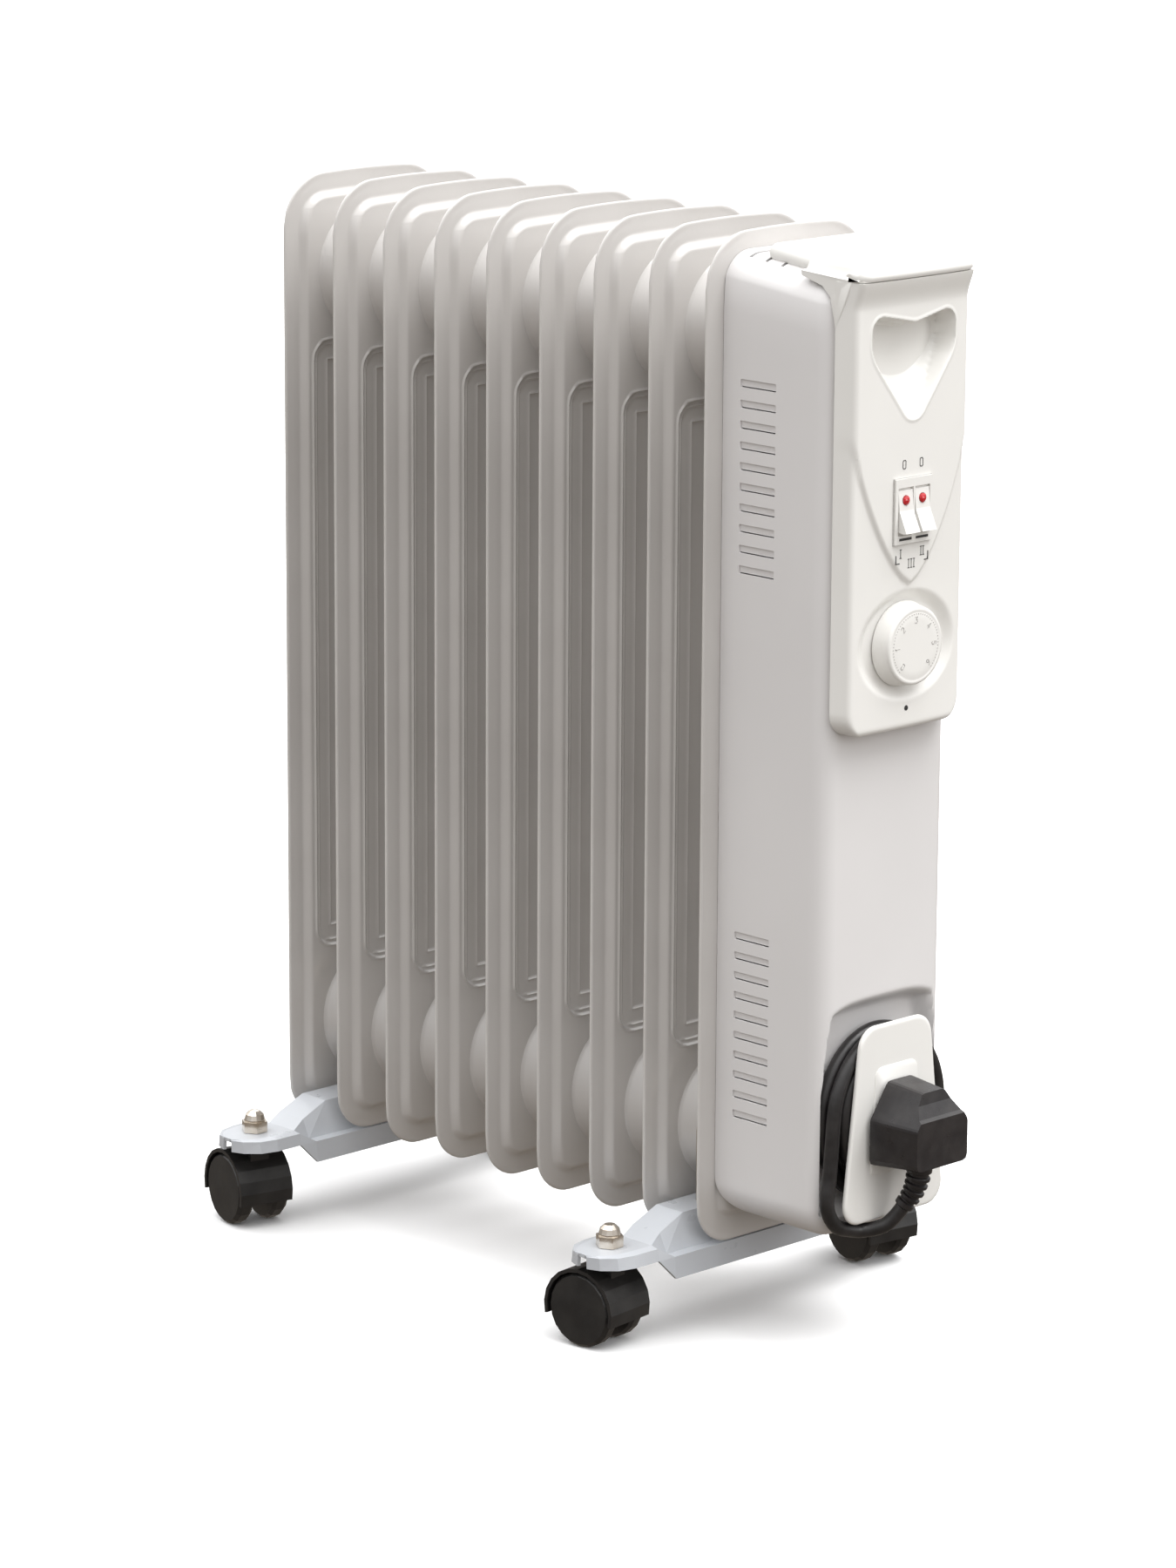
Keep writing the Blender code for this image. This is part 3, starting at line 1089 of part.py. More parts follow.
def build_plug():
    half = PLUG_WIDTH / 2
    low, high = PLUG_BOTTOM_Z, PLUG_BOTTOM_Z + PLUG_HEIGHT
    outline = fillet([(-half, low, 0.004), (half, low, 0.004), (half, high - 0.020, 0.005),
                      (0.010, high, 0.004), (-0.010, high, 0.004), (-half, high - 0.020, 0.005)], 2)
    shape = prism_shape(outline, "Y", PLUG_BASE_Y - PLUG_DEPTH, PLUG_BASE_Y)
    middle_z = low + PLUG_HEIGHT * 0.45
    for vert in shape.verts:
        if vert.co.y < PLUG_BASE_Y - PLUG_DEPTH / 2:
            vert.co.x *= PLUG_FRONT_WIDTH_SHARE
            vert.co.z = middle_z + (vert.co.z - middle_z) * PLUG_FRONT_HEIGHT_SHARE
    plug = mesh_object("plug_body", shape, "plug_plastic")
    cut(plug, cylinder("plug_grip_cut", PLUG_GRIP_RADIUS, "X", -0.03, 0.03,
                       (0, PLUG_BASE_Y - PLUG_DEPTH - 0.012, high - 0.001), 16))
    for name, x, z, half_w, half_h, length in plug_pins():
        box(name, (x - half_w, PLUG_BASE_Y + GAP, z - half_h),
            (x + half_w, PLUG_BASE_Y + GAP + length, z + half_h), "brass")


# ---------------------------------------------------------------- the whole heater
def build_heater():
    clear_scene()
    for number in range(1, FIN_COUNT + 1):
        build_fin(number)
    build_element()
    build_filler_plug()
    for which in ("front", "rear"):
        build_bracket(which)
        build_u_bolt(which)
    for name in CASTORS:
        build_castor(name)
    build_cover()
    build_cover_bracket()
    build_panel()
    build_grip()
    build_switches()
    build_thermostat()
    build_inner_parts()
    build_gland()
    build_winder()
    build_coil()
    build_lead()
    build_plug()


build_heater()
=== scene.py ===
"""Looks of the oil filled radiator heater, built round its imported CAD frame.

Lengths are in millimetres until make_piece() turns them into metres. Lights are placed in metres.
"""

import math

import bmesh
import bpy
import numpy as np
from mathutils import Matrix, Vector
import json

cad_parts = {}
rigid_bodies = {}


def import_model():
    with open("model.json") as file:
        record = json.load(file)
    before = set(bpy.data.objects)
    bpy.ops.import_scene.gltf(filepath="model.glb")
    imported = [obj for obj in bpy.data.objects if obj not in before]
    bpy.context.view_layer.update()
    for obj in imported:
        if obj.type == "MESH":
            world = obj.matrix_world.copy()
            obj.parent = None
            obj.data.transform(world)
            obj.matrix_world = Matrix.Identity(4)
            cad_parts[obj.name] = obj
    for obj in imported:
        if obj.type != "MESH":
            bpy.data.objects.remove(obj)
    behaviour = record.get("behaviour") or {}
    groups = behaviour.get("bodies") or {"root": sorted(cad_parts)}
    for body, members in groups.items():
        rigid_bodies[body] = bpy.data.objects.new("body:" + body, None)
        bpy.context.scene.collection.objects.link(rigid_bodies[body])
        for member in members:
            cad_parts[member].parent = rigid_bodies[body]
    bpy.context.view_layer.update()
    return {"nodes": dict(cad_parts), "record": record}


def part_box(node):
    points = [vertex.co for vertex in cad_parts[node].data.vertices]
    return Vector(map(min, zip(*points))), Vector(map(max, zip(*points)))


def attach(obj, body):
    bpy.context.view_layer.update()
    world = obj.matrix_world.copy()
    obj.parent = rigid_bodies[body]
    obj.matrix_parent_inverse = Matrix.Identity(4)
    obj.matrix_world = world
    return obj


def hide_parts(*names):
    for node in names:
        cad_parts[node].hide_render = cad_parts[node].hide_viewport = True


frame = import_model()
MM = 0.001


def box_mm(node):
    low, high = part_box(node)
    return low / MM, high / MM


# ---------------------------------------------------------------- camera, light and floor
CAMERA_PLACE = (-2206.6, -2264.1, 1028.7)
CAMERA_TARGET = (9.7, 31.0, 282.2)
CAMERA_ROLL_DEG = 0.3
CAMERA_LENS = 127.6
# The world's light goes from the ground through the sky to the zenith, each at its share of the way up.
GROUND_GLOW, GROUND_SHARE = (0.27, 0.235, 0.20), 0.40
SKY_GLOW, SKY_SHARE = (0.62, 0.62, 0.63), 0.60
ZENITH_GLOW, ZENITH_SHARE = (2.6, 2.6, 2.6), 0.98
SUN_STRENGTH, SUN_SPREAD_DEG, SUN_WAY = 1.5, 38, (-0.22, 0.42, -1.0)
WINDOW_PLACE, WINDOW_TARGET = (1.3, -2.6, 0.9), (0, 0, 0.3)
WINDOW_SIZE, WINDOW_POWER = (0.9, 1.5), 13
FLOOR_SIZE = 60


def add_camera():
    data = bpy.data.cameras.new("camera")
    data.lens = CAMERA_LENS
    data.sensor_width = 36
    data.clip_end = 50
    camera = bpy.data.objects.new("camera", data)
    bpy.context.scene.collection.objects.link(camera)
    place, target = Vector(CAMERA_PLACE) * MM, Vector(CAMERA_TARGET) * MM
    look = (target - place).to_track_quat("-Z", "Y").to_matrix().to_4x4()
    roll = Matrix.Rotation(math.radians(CAMERA_ROLL_DEG), 4, "Z")
    camera.matrix_world = Matrix.Translation(place) @ look @ roll
    bpy.context.scene.camera = camera


def add_light(name, kind, power, way):
    """A light that shines along a direction."""
    light = bpy.data.objects.new(name, bpy.data.lights.new(name, kind))
    light.data.energy = power
    light.rotation_mode = "QUATERNION"
    light.rotation_quaternion = Vector(way).to_track_quat("-Z", "Y")
    bpy.context.scene.collection.objects.link(light)
    return light


def world_light():
    """Pale light from above and a dim warm tone from below, as over a dark wooden floor."""
    world = bpy.data.worlds.new("studio")
    world.use_nodes = True
    tree = world.node_tree
    split = tree.nodes.new("ShaderNodeSeparateXYZ")
    ramp = tree.nodes.new("ShaderNodeValToRGB")
    lift = tree.nodes.new("ShaderNodeMapRange")
    lift.inputs["From Min"].default_value = -1
    lift.inputs["From Max"].default_value = 1
    tree.links.new(tree.nodes.new("ShaderNodeTexCoord").outputs["Generated"], split.inputs["Vector"])
    tree.links.new(split.outputs["Z"], lift.inputs["Value"])
    tree.links.new(lift.outputs["Result"], ramp.inputs["Fac"])
    first, last = ramp.color_ramp.elements
    first.position, first.color = GROUND_SHARE, (*GROUND_GLOW, 1)
    last.position, last.color = SKY_SHARE, (*SKY_GLOW, 1)
    zenith = ramp.color_ramp.elements.new(ZENITH_SHARE)
    zenith.color = (*ZENITH_GLOW, 1)
    tree.links.new(ramp.outputs["Color"], tree.nodes["Background"].inputs["Color"])
    bpy.context.scene.world = world


def add_surroundings():
    world_light()
    sun = add_light("soft_sun", "SUN", SUN_STRENGTH, SUN_WAY)
    sun.data.angle = math.radians(SUN_SPREAD_DEG)
    window = add_light("front_window", "AREA", WINDOW_POWER, Vector(WINDOW_TARGET) - Vector(WINDOW_PLACE))
    window.location = WINDOW_PLACE
    window.data.shape = "RECTANGLE"
    window.data.size, window.data.size_y = WINDOW_SIZE
    bpy.ops.mesh.primitive_plane_add(size=FLOOR_SIZE, location=(0, 0, 0))
    floor = bpy.context.object
    floor.name = "floor"
    paint = look("floor", (0.94, 0.94, 0.94), (0.96, 0.96, 0.96), 1.2, 0.9)
    floor.data.materials.append(paint.material)
    floor.visible_diffuse = False
    floor.visible_glossy = False
    bpy.context.scene.view_settings.view_transform = "Standard"


# ---------------------------------------------------------------- materials
class Shader:
    """A Principled material with a few helpers for its node tree. Texture scales are per metre."""

    def __init__(self, name, roughness=0.4, metallic=0.0, coat=0.0):
        self.material = bpy.data.materials.new(name)
        self.material.use_nodes = True
        self.tree = self.material.node_tree
        self.shader = self.tree.nodes["Principled BSDF"]
        self.shader.inputs["Roughness"].default_value = roughness
        self.shader.inputs["Metallic"].default_value = metallic
        self.shader.inputs["Coat Weight"].default_value = coat
        self.shader.inputs["Coat Roughness"].default_value = 0.08
        self.place = self.tree.nodes.new("ShaderNodeTexCoord").outputs["Object"]
        self.normal = None

    def noise(self, scale, detail):
        node = self.tree.nodes.new("ShaderNodeTexNoise")
        node.inputs["Scale"].default_value = scale
        node.inputs["Detail"].default_value = detail
        self.tree.links.new(self.place, node.inputs["Vector"])
        return node.outputs["Fac"]

    def cells(self, scale):
        node = self.tree.nodes.new("ShaderNodeTexVoronoi")
        node.inputs["Scale"].default_value = scale
        self.tree.links.new(self.place, node.inputs["Vector"])
        return node.outputs["Distance"]

    def ramp(self, factor, stops):
        node = self.tree.nodes.new("ShaderNodeValToRGB")
        while len(node.color_ramp.elements) < len(stops):
            node.color_ramp.elements.new(0.5)
        for element, (position, colour) in zip(node.color_ramp.elements, stops):
            element.position = position
            element.color = (*colour, 1)
        self.tree.links.new(factor, node.inputs["Fac"])
        return node.outputs["Color"]

    def tinted(self, dark, light, scale, low, high):
        """Base colour that drifts between two near shades."""
        shades = self.ramp(self.noise(scale, 3.0), [(low, dark), (high, light)])
        self.tree.links.new(shades, self.shader.inputs["Base Color"])

    def varied_roughness(self, low, high, scale):
        node = self.tree.nodes.new("ShaderNodeMapRange")
        node.inputs["From Min"].default_value = 0.3
        node.inputs["From Max"].default_value = 0.7
        node.inputs["To Min"].default_value = low
        node.inputs["To Max"].default_value = high
        self.tree.links.new(self.noise(scale, 4.0), node.inputs["Value"])
        self.tree.links.new(node.outputs["Result"], self.shader.inputs["Roughness"])

    def bump(self, source, distance, strength):
        node = self.tree.nodes.new("ShaderNodeBump")
        node.inputs["Strength"].default_value = strength
        node.inputs["Distance"].default_value = distance
        self.tree.links.new(source, node.inputs["Height"])
        if self.normal is not None:
            self.tree.links.new(self.normal, node.inputs["Normal"])
        self.normal = node.outputs["Normal"]
        self.tree.links.new(self.normal, self.shader.inputs["Normal"])


def look(name, dark, light, patch, roughness, spread=None, grain=(), metallic=0.0, coat=0.0,
         edges=(0.35, 0.65)):
    """A material whose colour drifts between two shades.

    patch is the scale of the colour's noise, spread is (low, high, scale) of the roughness, and each
    grain is (scale, detail, height in metres, strength) of a bump.
    """
    made = Shader(name, roughness, metallic, coat)
    made.tinted(dark, light, patch, *edges)
    if spread:
        made.varied_roughness(*spread)
    for scale, detail, height, strength in grain:
        made.bump(made.noise(scale, detail), height, strength)
    return made


def grip_stipple():
    made = look("grip_stipple_look", (0.76, 0.76, 0.75), (0.82, 0.82, 0.81), 700, 0.5, edges=(0.4, 0.6))
    made.bump(made.cells(900), 0.0007, 1.0)
    return made


def red_lens():
    made = look("red_lens_look", (0.45, 0.005, 0.01), (0.75, 0.02, 0.03), 900, 0.08, coat=0.6)
    made.shader.inputs["Transmission Weight"].default_value = 0.15
    return made


SHADERS = {
    "dial_ink": look("dial_ink_look", (0.50, 0.49, 0.47), (0.58, 0.57, 0.55), 1200, 0.4),
    "fin_enamel": look("fin_enamel_look", (0.58, 0.56, 0.54), (0.62, 0.60, 0.58), 9, 0.2, (0.16, 0.26, 35),
                       [(420, 2, 0.00008, 0.5), (18, 1, 0.0008, 0.12)], coat=0.35),
    "cover_enamel": look("cover_enamel_look", (0.70, 0.685, 0.68), (0.73, 0.715, 0.71), 7, 0.34,
                         (0.30, 0.40, 60), [(1500, 2, 0.00005, 0.5)], coat=0.15),
    "panel_plastic": look("panel_plastic_look", (0.80, 0.79, 0.76), (0.83, 0.82, 0.79), 11, 0.33,
                          (0.28, 0.36, 90), [(2600, 2, 0.00003, 0.5)]),
    "grip_stipple": grip_stipple(),
    "foot_enamel": look("foot_enamel_look", (0.47, 0.49, 0.52), (0.52, 0.54, 0.57), 14, 0.3,
                        (0.26, 0.4, 70), [(600, 2, 0.00008, 0.5)], coat=0.2),
    "nickel": look("nickel_look", (0.72, 0.64, 0.54), (0.84, 0.78, 0.70), 120, 0.12, (0.08, 0.24, 260),
                   metallic=1.0),
    "steel": look("zinc_steel_look", (0.48, 0.48, 0.49), (0.62, 0.61, 0.60), 150, 0.3, (0.22, 0.42, 300),
                  metallic=1.0),
    "brass": look("brass_look", (0.70, 0.53, 0.24), (0.80, 0.65, 0.34), 160, 0.22, (0.16, 0.32, 300),
                  metallic=1.0),
    "castor_plastic": look("castor_nylon_look", (0.010, 0.0095, 0.0095), (0.020, 0.019, 0.018), 60, 0.38,
                           (0.30, 0.46, 110), [(1400, 2, 0.00006, 0.6)]),
    "lead_rubber": look("lead_sheath_look", (0.010, 0.009, 0.009), (0.022, 0.020, 0.020), 90, 0.36,
                        (0.28, 0.46, 160), [(900, 2, 0.00008, 0.5)]),
    "plug_plastic": look("plug_vinyl_look", (0.012, 0.010, 0.011), (0.024, 0.021, 0.021), 80, 0.34,
                         (0.26, 0.42, 140), [(2200, 2, 0.00005, 0.6)]),
    "lens_red": red_lens(),
    "inner_plastic": look("dark_plastic_look", (0.030, 0.030, 0.032), (0.050, 0.050, 0.052), 100, 0.5,
                          grain=[(1600, 2, 0.00005, 0.6)]),
    # Printed ink. The same near-black also paints the shade in the open ends of the rockers' wells.
    "ink": look("printed_ink_and_painted_shade_look", (0.015, 0.015, 0.015), (0.035, 0.035, 0.035), 1200, 0.45),
    "gasket_fibre": look("fibre_look", (0.24, 0.13, 0.07), (0.38, 0.22, 0.13), 300, 0.85,
                         grain=[(1500, 3, 0.0002, 0.8)]),
    "wire_silicone": look("silicone_wire_look", (0.38, 0.07, 0.04), (0.50, 0.10, 0.06), 200, 0.5,
                          grain=[(1200, 2, 0.00015, 0.6)]),
}
LOOKS = {name: made.material for name, made in SHADERS.items()}


def make_piece(name, points, faces, paint, body="heater", replaces=(), slot=None, sharp=40,
               offset=(0, 0, 0)):
    """A piece from points in millimetres, riding on a body."""
    data = bpy.data.meshes.new(name)
    data.from_pydata([Vector(p) * MM for p in points], [], faces)
    shape = bmesh.new()
    shape.from_mesh(data)
    bmesh.ops.remove_doubles(shape, verts=shape.verts, dist=1e-6)
    bmesh.ops.recalc_face_normals(shape, faces=shape.faces)
    shape.to_mesh(data)
    shape.free()
    data.shade_smooth()
    data.set_sharp_from_angle(angle=math.radians(sharp))
    data.materials.append(LOOKS[paint])
    obj = bpy.data.objects.new(name, data)
    bpy.context.scene.collection.objects.link(obj)
    obj.location = Vector(offset) * MM
    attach(obj, body)
    if replaces:
        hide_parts(*replaces)
    return obj


def apply_modifiers(obj):
    """Leaves the evaluated mesh in place of the base mesh and its modifiers."""
    graph = bpy.context.evaluated_depsgraph_get()
    made = bpy.data.meshes.new_from_object(obj.evaluated_get(graph))
    obj.modifiers.clear()
    obj.data = made


def smooth_step(value, start, end):
    t = np.clip((value - start) / (end - start), 0, 1)
    return t * t * (3 - 2 * t)


def bead(value, centre, half):
    """A small rounded ridge round one value."""
    return np.clip(1 - ((value - centre) / half) ** 2, 0, 1) ** 1.5


def inside_distance(x, z, half, low, high, low_radius, high_radius):
    """How far inside a rounded rectangle each point is."""
    middle = (low + high) / 2
    radius = np.where(z > middle, high_radius, low_radius)
    across = np.abs(x) - (half - radius)
    up = np.where(z > middle, z - (high - radius), (low + radius) - z)
    outside = np.hypot(np.maximum(across, 0), np.maximum(up, 0))
    return radius - outside - np.minimum(np.maximum(across, up), 0)


def outline_half(z, half, low, high, low_radius, high_radius):
    """Half width of a rounded rectangle at height z."""
    def arc(gap, radius):
        gap = np.clip(gap, 0, radius)
        return radius - np.sqrt(np.maximum(radius ** 2 - (radius - gap) ** 2, 0))
    return half - arc(high - z, high_radius) - arc(z - low, low_radius)


def grid_faces(rows, columns, start=0):
    return [(start + r * columns + c, start + r * columns + c + 1,
             start + (r + 1) * columns + c + 1, start + (r + 1) * columns + c)
            for r in range(rows - 1) for c in range(columns - 1)]


def border(rows, columns, start=0):
    """Indices round the edge of a grid."""
    top = [start + c for c in range(columns)]
    right = [start + r * columns + columns - 1 for r in range(1, rows)]
    bottom = [start + (rows - 1) * columns + c for c in range(columns - 2, -1, -1)]
    left = [start + r * columns for r in range(rows - 2, 0, -1)]
    return top + right + bottom + left


def strip(first, second):
    count = len(first)
    return [(first[k], first[(k + 1) % count], second[(k + 1) % count], second[k]) for k in range(count)]


def rectangle(left, low, right, high):
    return [(left, low), (right, low), (right, high), (left, high)]


def place(axis, u, v, along):
    if axis == "X":
        return (along, u, v)
    if axis == "Y":
        return (u, along, v)
    return (u, v, along)


def turned(profile, axis, centre, count):
    """(points, faces) of a closed solid of revolution, from (radius, distance along the axis)."""
    points, faces, rings = [], [], []
    for radius, along in profile:
        ring = []
        for k in range(1 if radius < 1e-6 else count):
            angle = 2 * math.pi * k / count
            at = place(axis, radius * math.cos(angle), radius * math.sin(angle), along)
            ring.append(len(points))
            points.append(tuple(a + b for a, b in zip(at, centre)))
        rings.append(ring)
    pairs = list(zip(rings, rings[1:]))
    if profile[0][0] > 1e-6 and profile[-1][0] > 1e-6:
        pairs.append((rings[-1], rings[0]))
    for ring, after in pairs:
        for k in range(count):
            n = (k + 1) % count
            if len(ring) == 1:
                faces.append((ring[0], after[k], after[n]))
            elif len(after) == 1:
                faces.append((ring[k], ring[n], after[0]))
            else:
                faces.append((ring[k], ring[n], after[n], after[k]))
    return points, faces


def merged(*parts):
    points, faces = [], []
    for more_points, more_faces in parts:
        start = len(points)
        points += list(more_points)
        faces += [tuple(start + index for index in face) for face in more_faces]
    return points, faces


def fillet(corners, steps=8):
    """An outline through (u, v, radius) corners, each rounded with an arc."""
    outline = []
    for index, (u, v, radius) in enumerate(corners):
        here = Vector((u, v))
        if radius <= 0:
            outline.append((u, v))
            continue
        before = (Vector(corners[index - 1][:2]) - here).normalized()
        after = (Vector(corners[(index + 1) % len(corners)][:2]) - here).normalized()
        half = before.angle(after) / 2
        centre = here + (before + after).normalized() * (radius / math.sin(half))
        start = here + before * (radius / math.tan(half)) - centre
        end = here + after * (radius / math.tan(half)) - centre
        turn = math.atan2(start.x * end.y - start.y * end.x, start.dot(end))
        for step in range(steps + 1):
            c, s = math.cos(turn * step / steps), math.sin(turn * step / steps)
            outline.append((centre.x + start.x * c - start.y * s,
                            centre.y + start.x * s + start.y * c))
    return outline


def prism(outline, axis, low, high):
    count = len(outline)
    points = [place(axis, u, v, low) for u, v in outline] + [place(axis, u, v, high) for u, v in outline]
    faces = [tuple(range(count)), tuple(range(2 * count - 1, count - 1, -1))]
    faces += [(k, (k + 1) % count, count + (k + 1) % count, count + k) for k in range(count)]
    return points, faces


def loft(rings):
    """A closed solid through rings of the same number of points."""
    count = len(rings[0])
    points = [p for ring in rings for p in ring]
    faces = [tuple(range(count))[::-1], tuple(range(len(points) - count, len(points)))]
    for level in range(len(rings) - 1):
        at = level * count
        faces += strip(range(at, at + count), range(at + count, at + 2 * count))
    return points, faces


def smooth_route(points, spacing):
    """Points about `spacing` apart on a smooth curve through the given ones (centripetal spline)."""
    knots = [Vector(p) for p in points]
    knots = [2 * knots[0] - knots[1], *knots, 2 * knots[-1] - knots[-2]]
    route = [knots[1]]
    for a, b, c, d in zip(knots, knots[1:], knots[2:], knots[3:]):
        times = [0.0]
        for start, end in ((a, b), (b, c), (c, d)):
            times.append(times[-1] + max((end - start).length, 1e-9) ** 0.5)
        count = max(1, round((c - b).length / spacing))
        for step in range(1, count + 1):
            t = times[1] + (times[2] - times[1]) * step / count
            level = [a, b, c, d]
            for depth in (1, 2):
                level = [level[i] * ((times[i + depth] - t) / (times[i + depth] - times[i]))
                         + level[i + 1] * ((t - times[i]) / (times[i + depth] - times[i]))
                         for i in range(len(level) - 1)]
            share = (t - times[1]) / (times[2] - times[1])
            route.append(level[0] * (1 - share) + level[1] * share)
    return route


# ---------------------------------------------------------------- lead, coil and strain relief
CORD_DIAMETER = 8.4
COIL_LOW, COIL_HIGH = box_mm("cord_coil")
PLATE_LOW, PLATE_HIGH = box_mm("cord_winder")
PLUG_LOW, PLUG_HIGH = box_mm("plug_body")
PLATE_FRONT = PLATE_LOW.y
PLATE_BACK = PLATE_FRONT + 3.0
EXIT_Y = PLUG_HIGH.y - 16.0
RELIEF_POINTS = [(0.0, EXIT_Y, 112.7), (-0.4, EXIT_Y + 0.5, 106.0), (-2.0, EXIT_Y + 2.6, 97.0),
                 (-5.5, EXIT_Y + 6.6, 88.5)]
TAIL_POINTS = [(-5.7, EXIT_Y + 6.9, 87.9), (-8.3, EXIT_Y + 10.0, 82.2),
               (-13.0, EXIT_Y + 14.5, 76.4), (-20.5, PLATE_BACK + 1.0, 73.4),
               (-30.0, PLATE_BACK + 3.4, 75.2), (-40.0, PLATE_BACK + 3.9, 79.3),
               (-46.5, PLATE_BACK + 4.4, 90.0), (-46.7, PLATE_BACK + 4.6, 99.5),
               (-45.3, PLATE_BACK + 4.6, 106.0)]
COIL_LAYERS = 3
STEPS_PER_TURN = 40
COIL_FIRST_STEP, COIL_LAST_STEPS = 6, 4     # steps left out where the lead comes in and where it ends
COIL_START_DEG = 220
LAYER_CHANGE = 0.90                         # share of a layer's two turns after which the next begins
ROW_CHANGE = 0.86                           # share of a turn after which the lead swaps row
RELIEF_RADIUS, RELIEF_TAPER = 7.7, 2.2
RIB_DEPTH, RIBS, RIBS_FROM, RIBS_TO = 1.3, 6.2, 0.12, 0.97


def coil_points():
    """The turns from the outermost layer in, starting at the lower left and swapping row each turn."""
    middle_z = (COIL_LOW.z + COIL_HIGH.z) / 2
    outer = COIL_HIGH.x - CORD_DIAMETER / 2 - 0.1
    straight = (COIL_HIGH.z - COIL_LOW.z) / 2 - COIL_HIGH.x
    front, back = COIL_LOW.y + CORD_DIAMETER / 2, COIL_HIGH.y - CORD_DIAMETER / 2
    points = []
    for step in range(COIL_FIRST_STEP, 2 * COIL_LAYERS * STEPS_PER_TURN - COIL_LAST_STEPS):
        turn = step / STEPS_PER_TURN
        layer = int(turn / 2)
        radius = outer - CORD_DIAMETER * (layer + float(smooth_step(turn / 2 - layer, LAYER_CHANGE, 1)))
        swap = float(smooth_step(turn % 1, ROW_CHANGE, 1))
        share = swap if turn % 2 < 1 else 1 - swap
        angle = math.radians(COIL_START_DEG) - 2 * math.pi * turn
        points.append((radius * math.cos(angle), front + (back - front) * share,
                       middle_z + (radius + straight) * math.sin(angle)))
    return points


def length_of(route):
    return sum((Vector(b) - Vector(a)).length for a, b in zip(route, route[1:]))


def ribbed_relief():
    """The plug's strain relief: a tapering sleeve cut into ribs."""
    route = smooth_route(RELIEF_POINTS, 0.35)
    rings, count = [], 28
    total, gone = length_of(route), 0.0
    for index, at in enumerate(route):
        after = route[min(index + 1, len(route) - 1)]
        ahead = (after - route[max(index - 1, 0)]).normalized()
        side = ahead.cross(Vector((0, 1, 0))).normalized()
        up = side.cross(ahead)
        share = gone / total
        radius = RELIEF_RADIUS - RELIEF_TAPER * share
        if RIBS_FROM < share < RIBS_TO:
            in_rib = abs(((share - RIBS_FROM) * RIBS) % 1 - 0.5)
            radius -= RIB_DEPTH * float(smooth_step(in_rib, 0.30, 0.16))
        angles = [2 * math.pi * k / count for k in range(count)]
        rings.append([tuple(at + (side * math.cos(a) + up * math.sin(a)) * radius) for a in angles])
        gone += (after - at).length
    make_piece("strain_relief_ribbed", *loft(rings), "plug_plastic", replaces=["plug_strain_relief"],
               sharp=50)


def add_lead():
    """The wound lead with its loose end. Gives the piece and its length."""
    route = smooth_route([*TAIL_POINTS, *coil_points()], 3.0)
    data = bpy.data.curves.new("mains_lead", "CURVE")
    data.dimensions = "3D"
    data.bevel_depth = CORD_DIAMETER / 2 * MM
    data.bevel_resolution = 5
    data.use_fill_caps = True
    line = data.splines.new("POLY")
    line.points.add(len(route) - 1)
    for point, at in zip(line.points, route):
        point.co = (*(Vector(at) * MM), 1)
    data.materials.append(LOOKS["lead_rubber"])
    lead = bpy.data.objects.new("mains_lead", data)
    bpy.context.scene.collection.objects.link(lead)
    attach(lead, "heater")
    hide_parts("cord_tail", "cord_coil")
    return lead, length_of(route)


add_camera()
add_surroundings()
LEAD, LEAD_LENGTH = add_lead()
ribbed_relief()


# ---------------------------------------------------------------- fins
FIN_COUNT = 9
FIN_HALF = 64.0
FIN_TOP_RADIUS, FIN_BOTTOM_RADIUS = 30.0, 26.0
FIN_FLANGE, COVERED_FLANGE = 11.0, 15.0     # the fin behind the cover has the wider flat border
FIN_CROWN = 3.0
RIM_HALF = 0.9
BULGE = 4.5
CHANNEL_HALF = 45.6           # pressed outline inside the channels
CHANNEL_INSET_LOW, CHANNEL_INSET_HIGH = 106.0, 100.0
CHANNEL_RADIUS = 13.0
HEADER_INSET = 60.0
EDGE_STEPS = [0, 0.25, 0.7, 1.5, 3.2, 5.5, 8, 9.5, 10.4, 11, 11.6, 12.2, 12.8, 13.4, 14, 14.6, 15.2, 16,
              16.9, 17.4, 17.9, 18.4, 18.9, 19.4, 19.9, 20.6, 21.2, 21.7, 22.2, 22.8, 23.4, 25, 28, 29.9,
              30.4, 30.9, 31.4, 32, 32.6]
CHANNEL_STEPS = [-6, -1.4, -0.9, -0.4, 0.1, 0.6, 1.1, 1.7, 2.4, 3, 3.5, 4, 4.7, 5.5, 6.5, 8, 10, 11.4,
                 11.9, 12.4, 12.9, 13.5, 14.2, 16, 20]


def fin_height(x, z, low, high, flange):
    """Half thickness of the fin at each point."""
    edge = inside_distance(x, z, FIN_HALF, low, high, FIN_BOTTOM_RADIUS, FIN_TOP_RADIUS)
    height = RIM_HALF * np.sqrt(np.clip(edge / 0.7, 0.12, 1))
    height -= 0.25 * bead(edge, 4.2, 1.6)
    height += (BULGE - RIM_HALF) * smooth_step(edge, flange - 0.6, flange + 4.6)
    inner = inside_distance(x, z, CHANNEL_HALF, low + CHANNEL_INSET_LOW, high - CHANNEL_INSET_HIGH,
                            CHANNEL_RADIUS, CHANNEL_RADIUS)
    height += 0.9 * bead(inner, 0.0, 1.1) - 1.0 * smooth_step(inner, 0.3, 1.5)
    height += 0.5 * bead(inner, 3.4, 0.8) - 0.7 * smooth_step(inner, 3.5, 4.6)
    height += 0.6 * bead(inner, 12.4, 0.8) - 0.8 * smooth_step(inner, 12.6, 13.8)
    return height


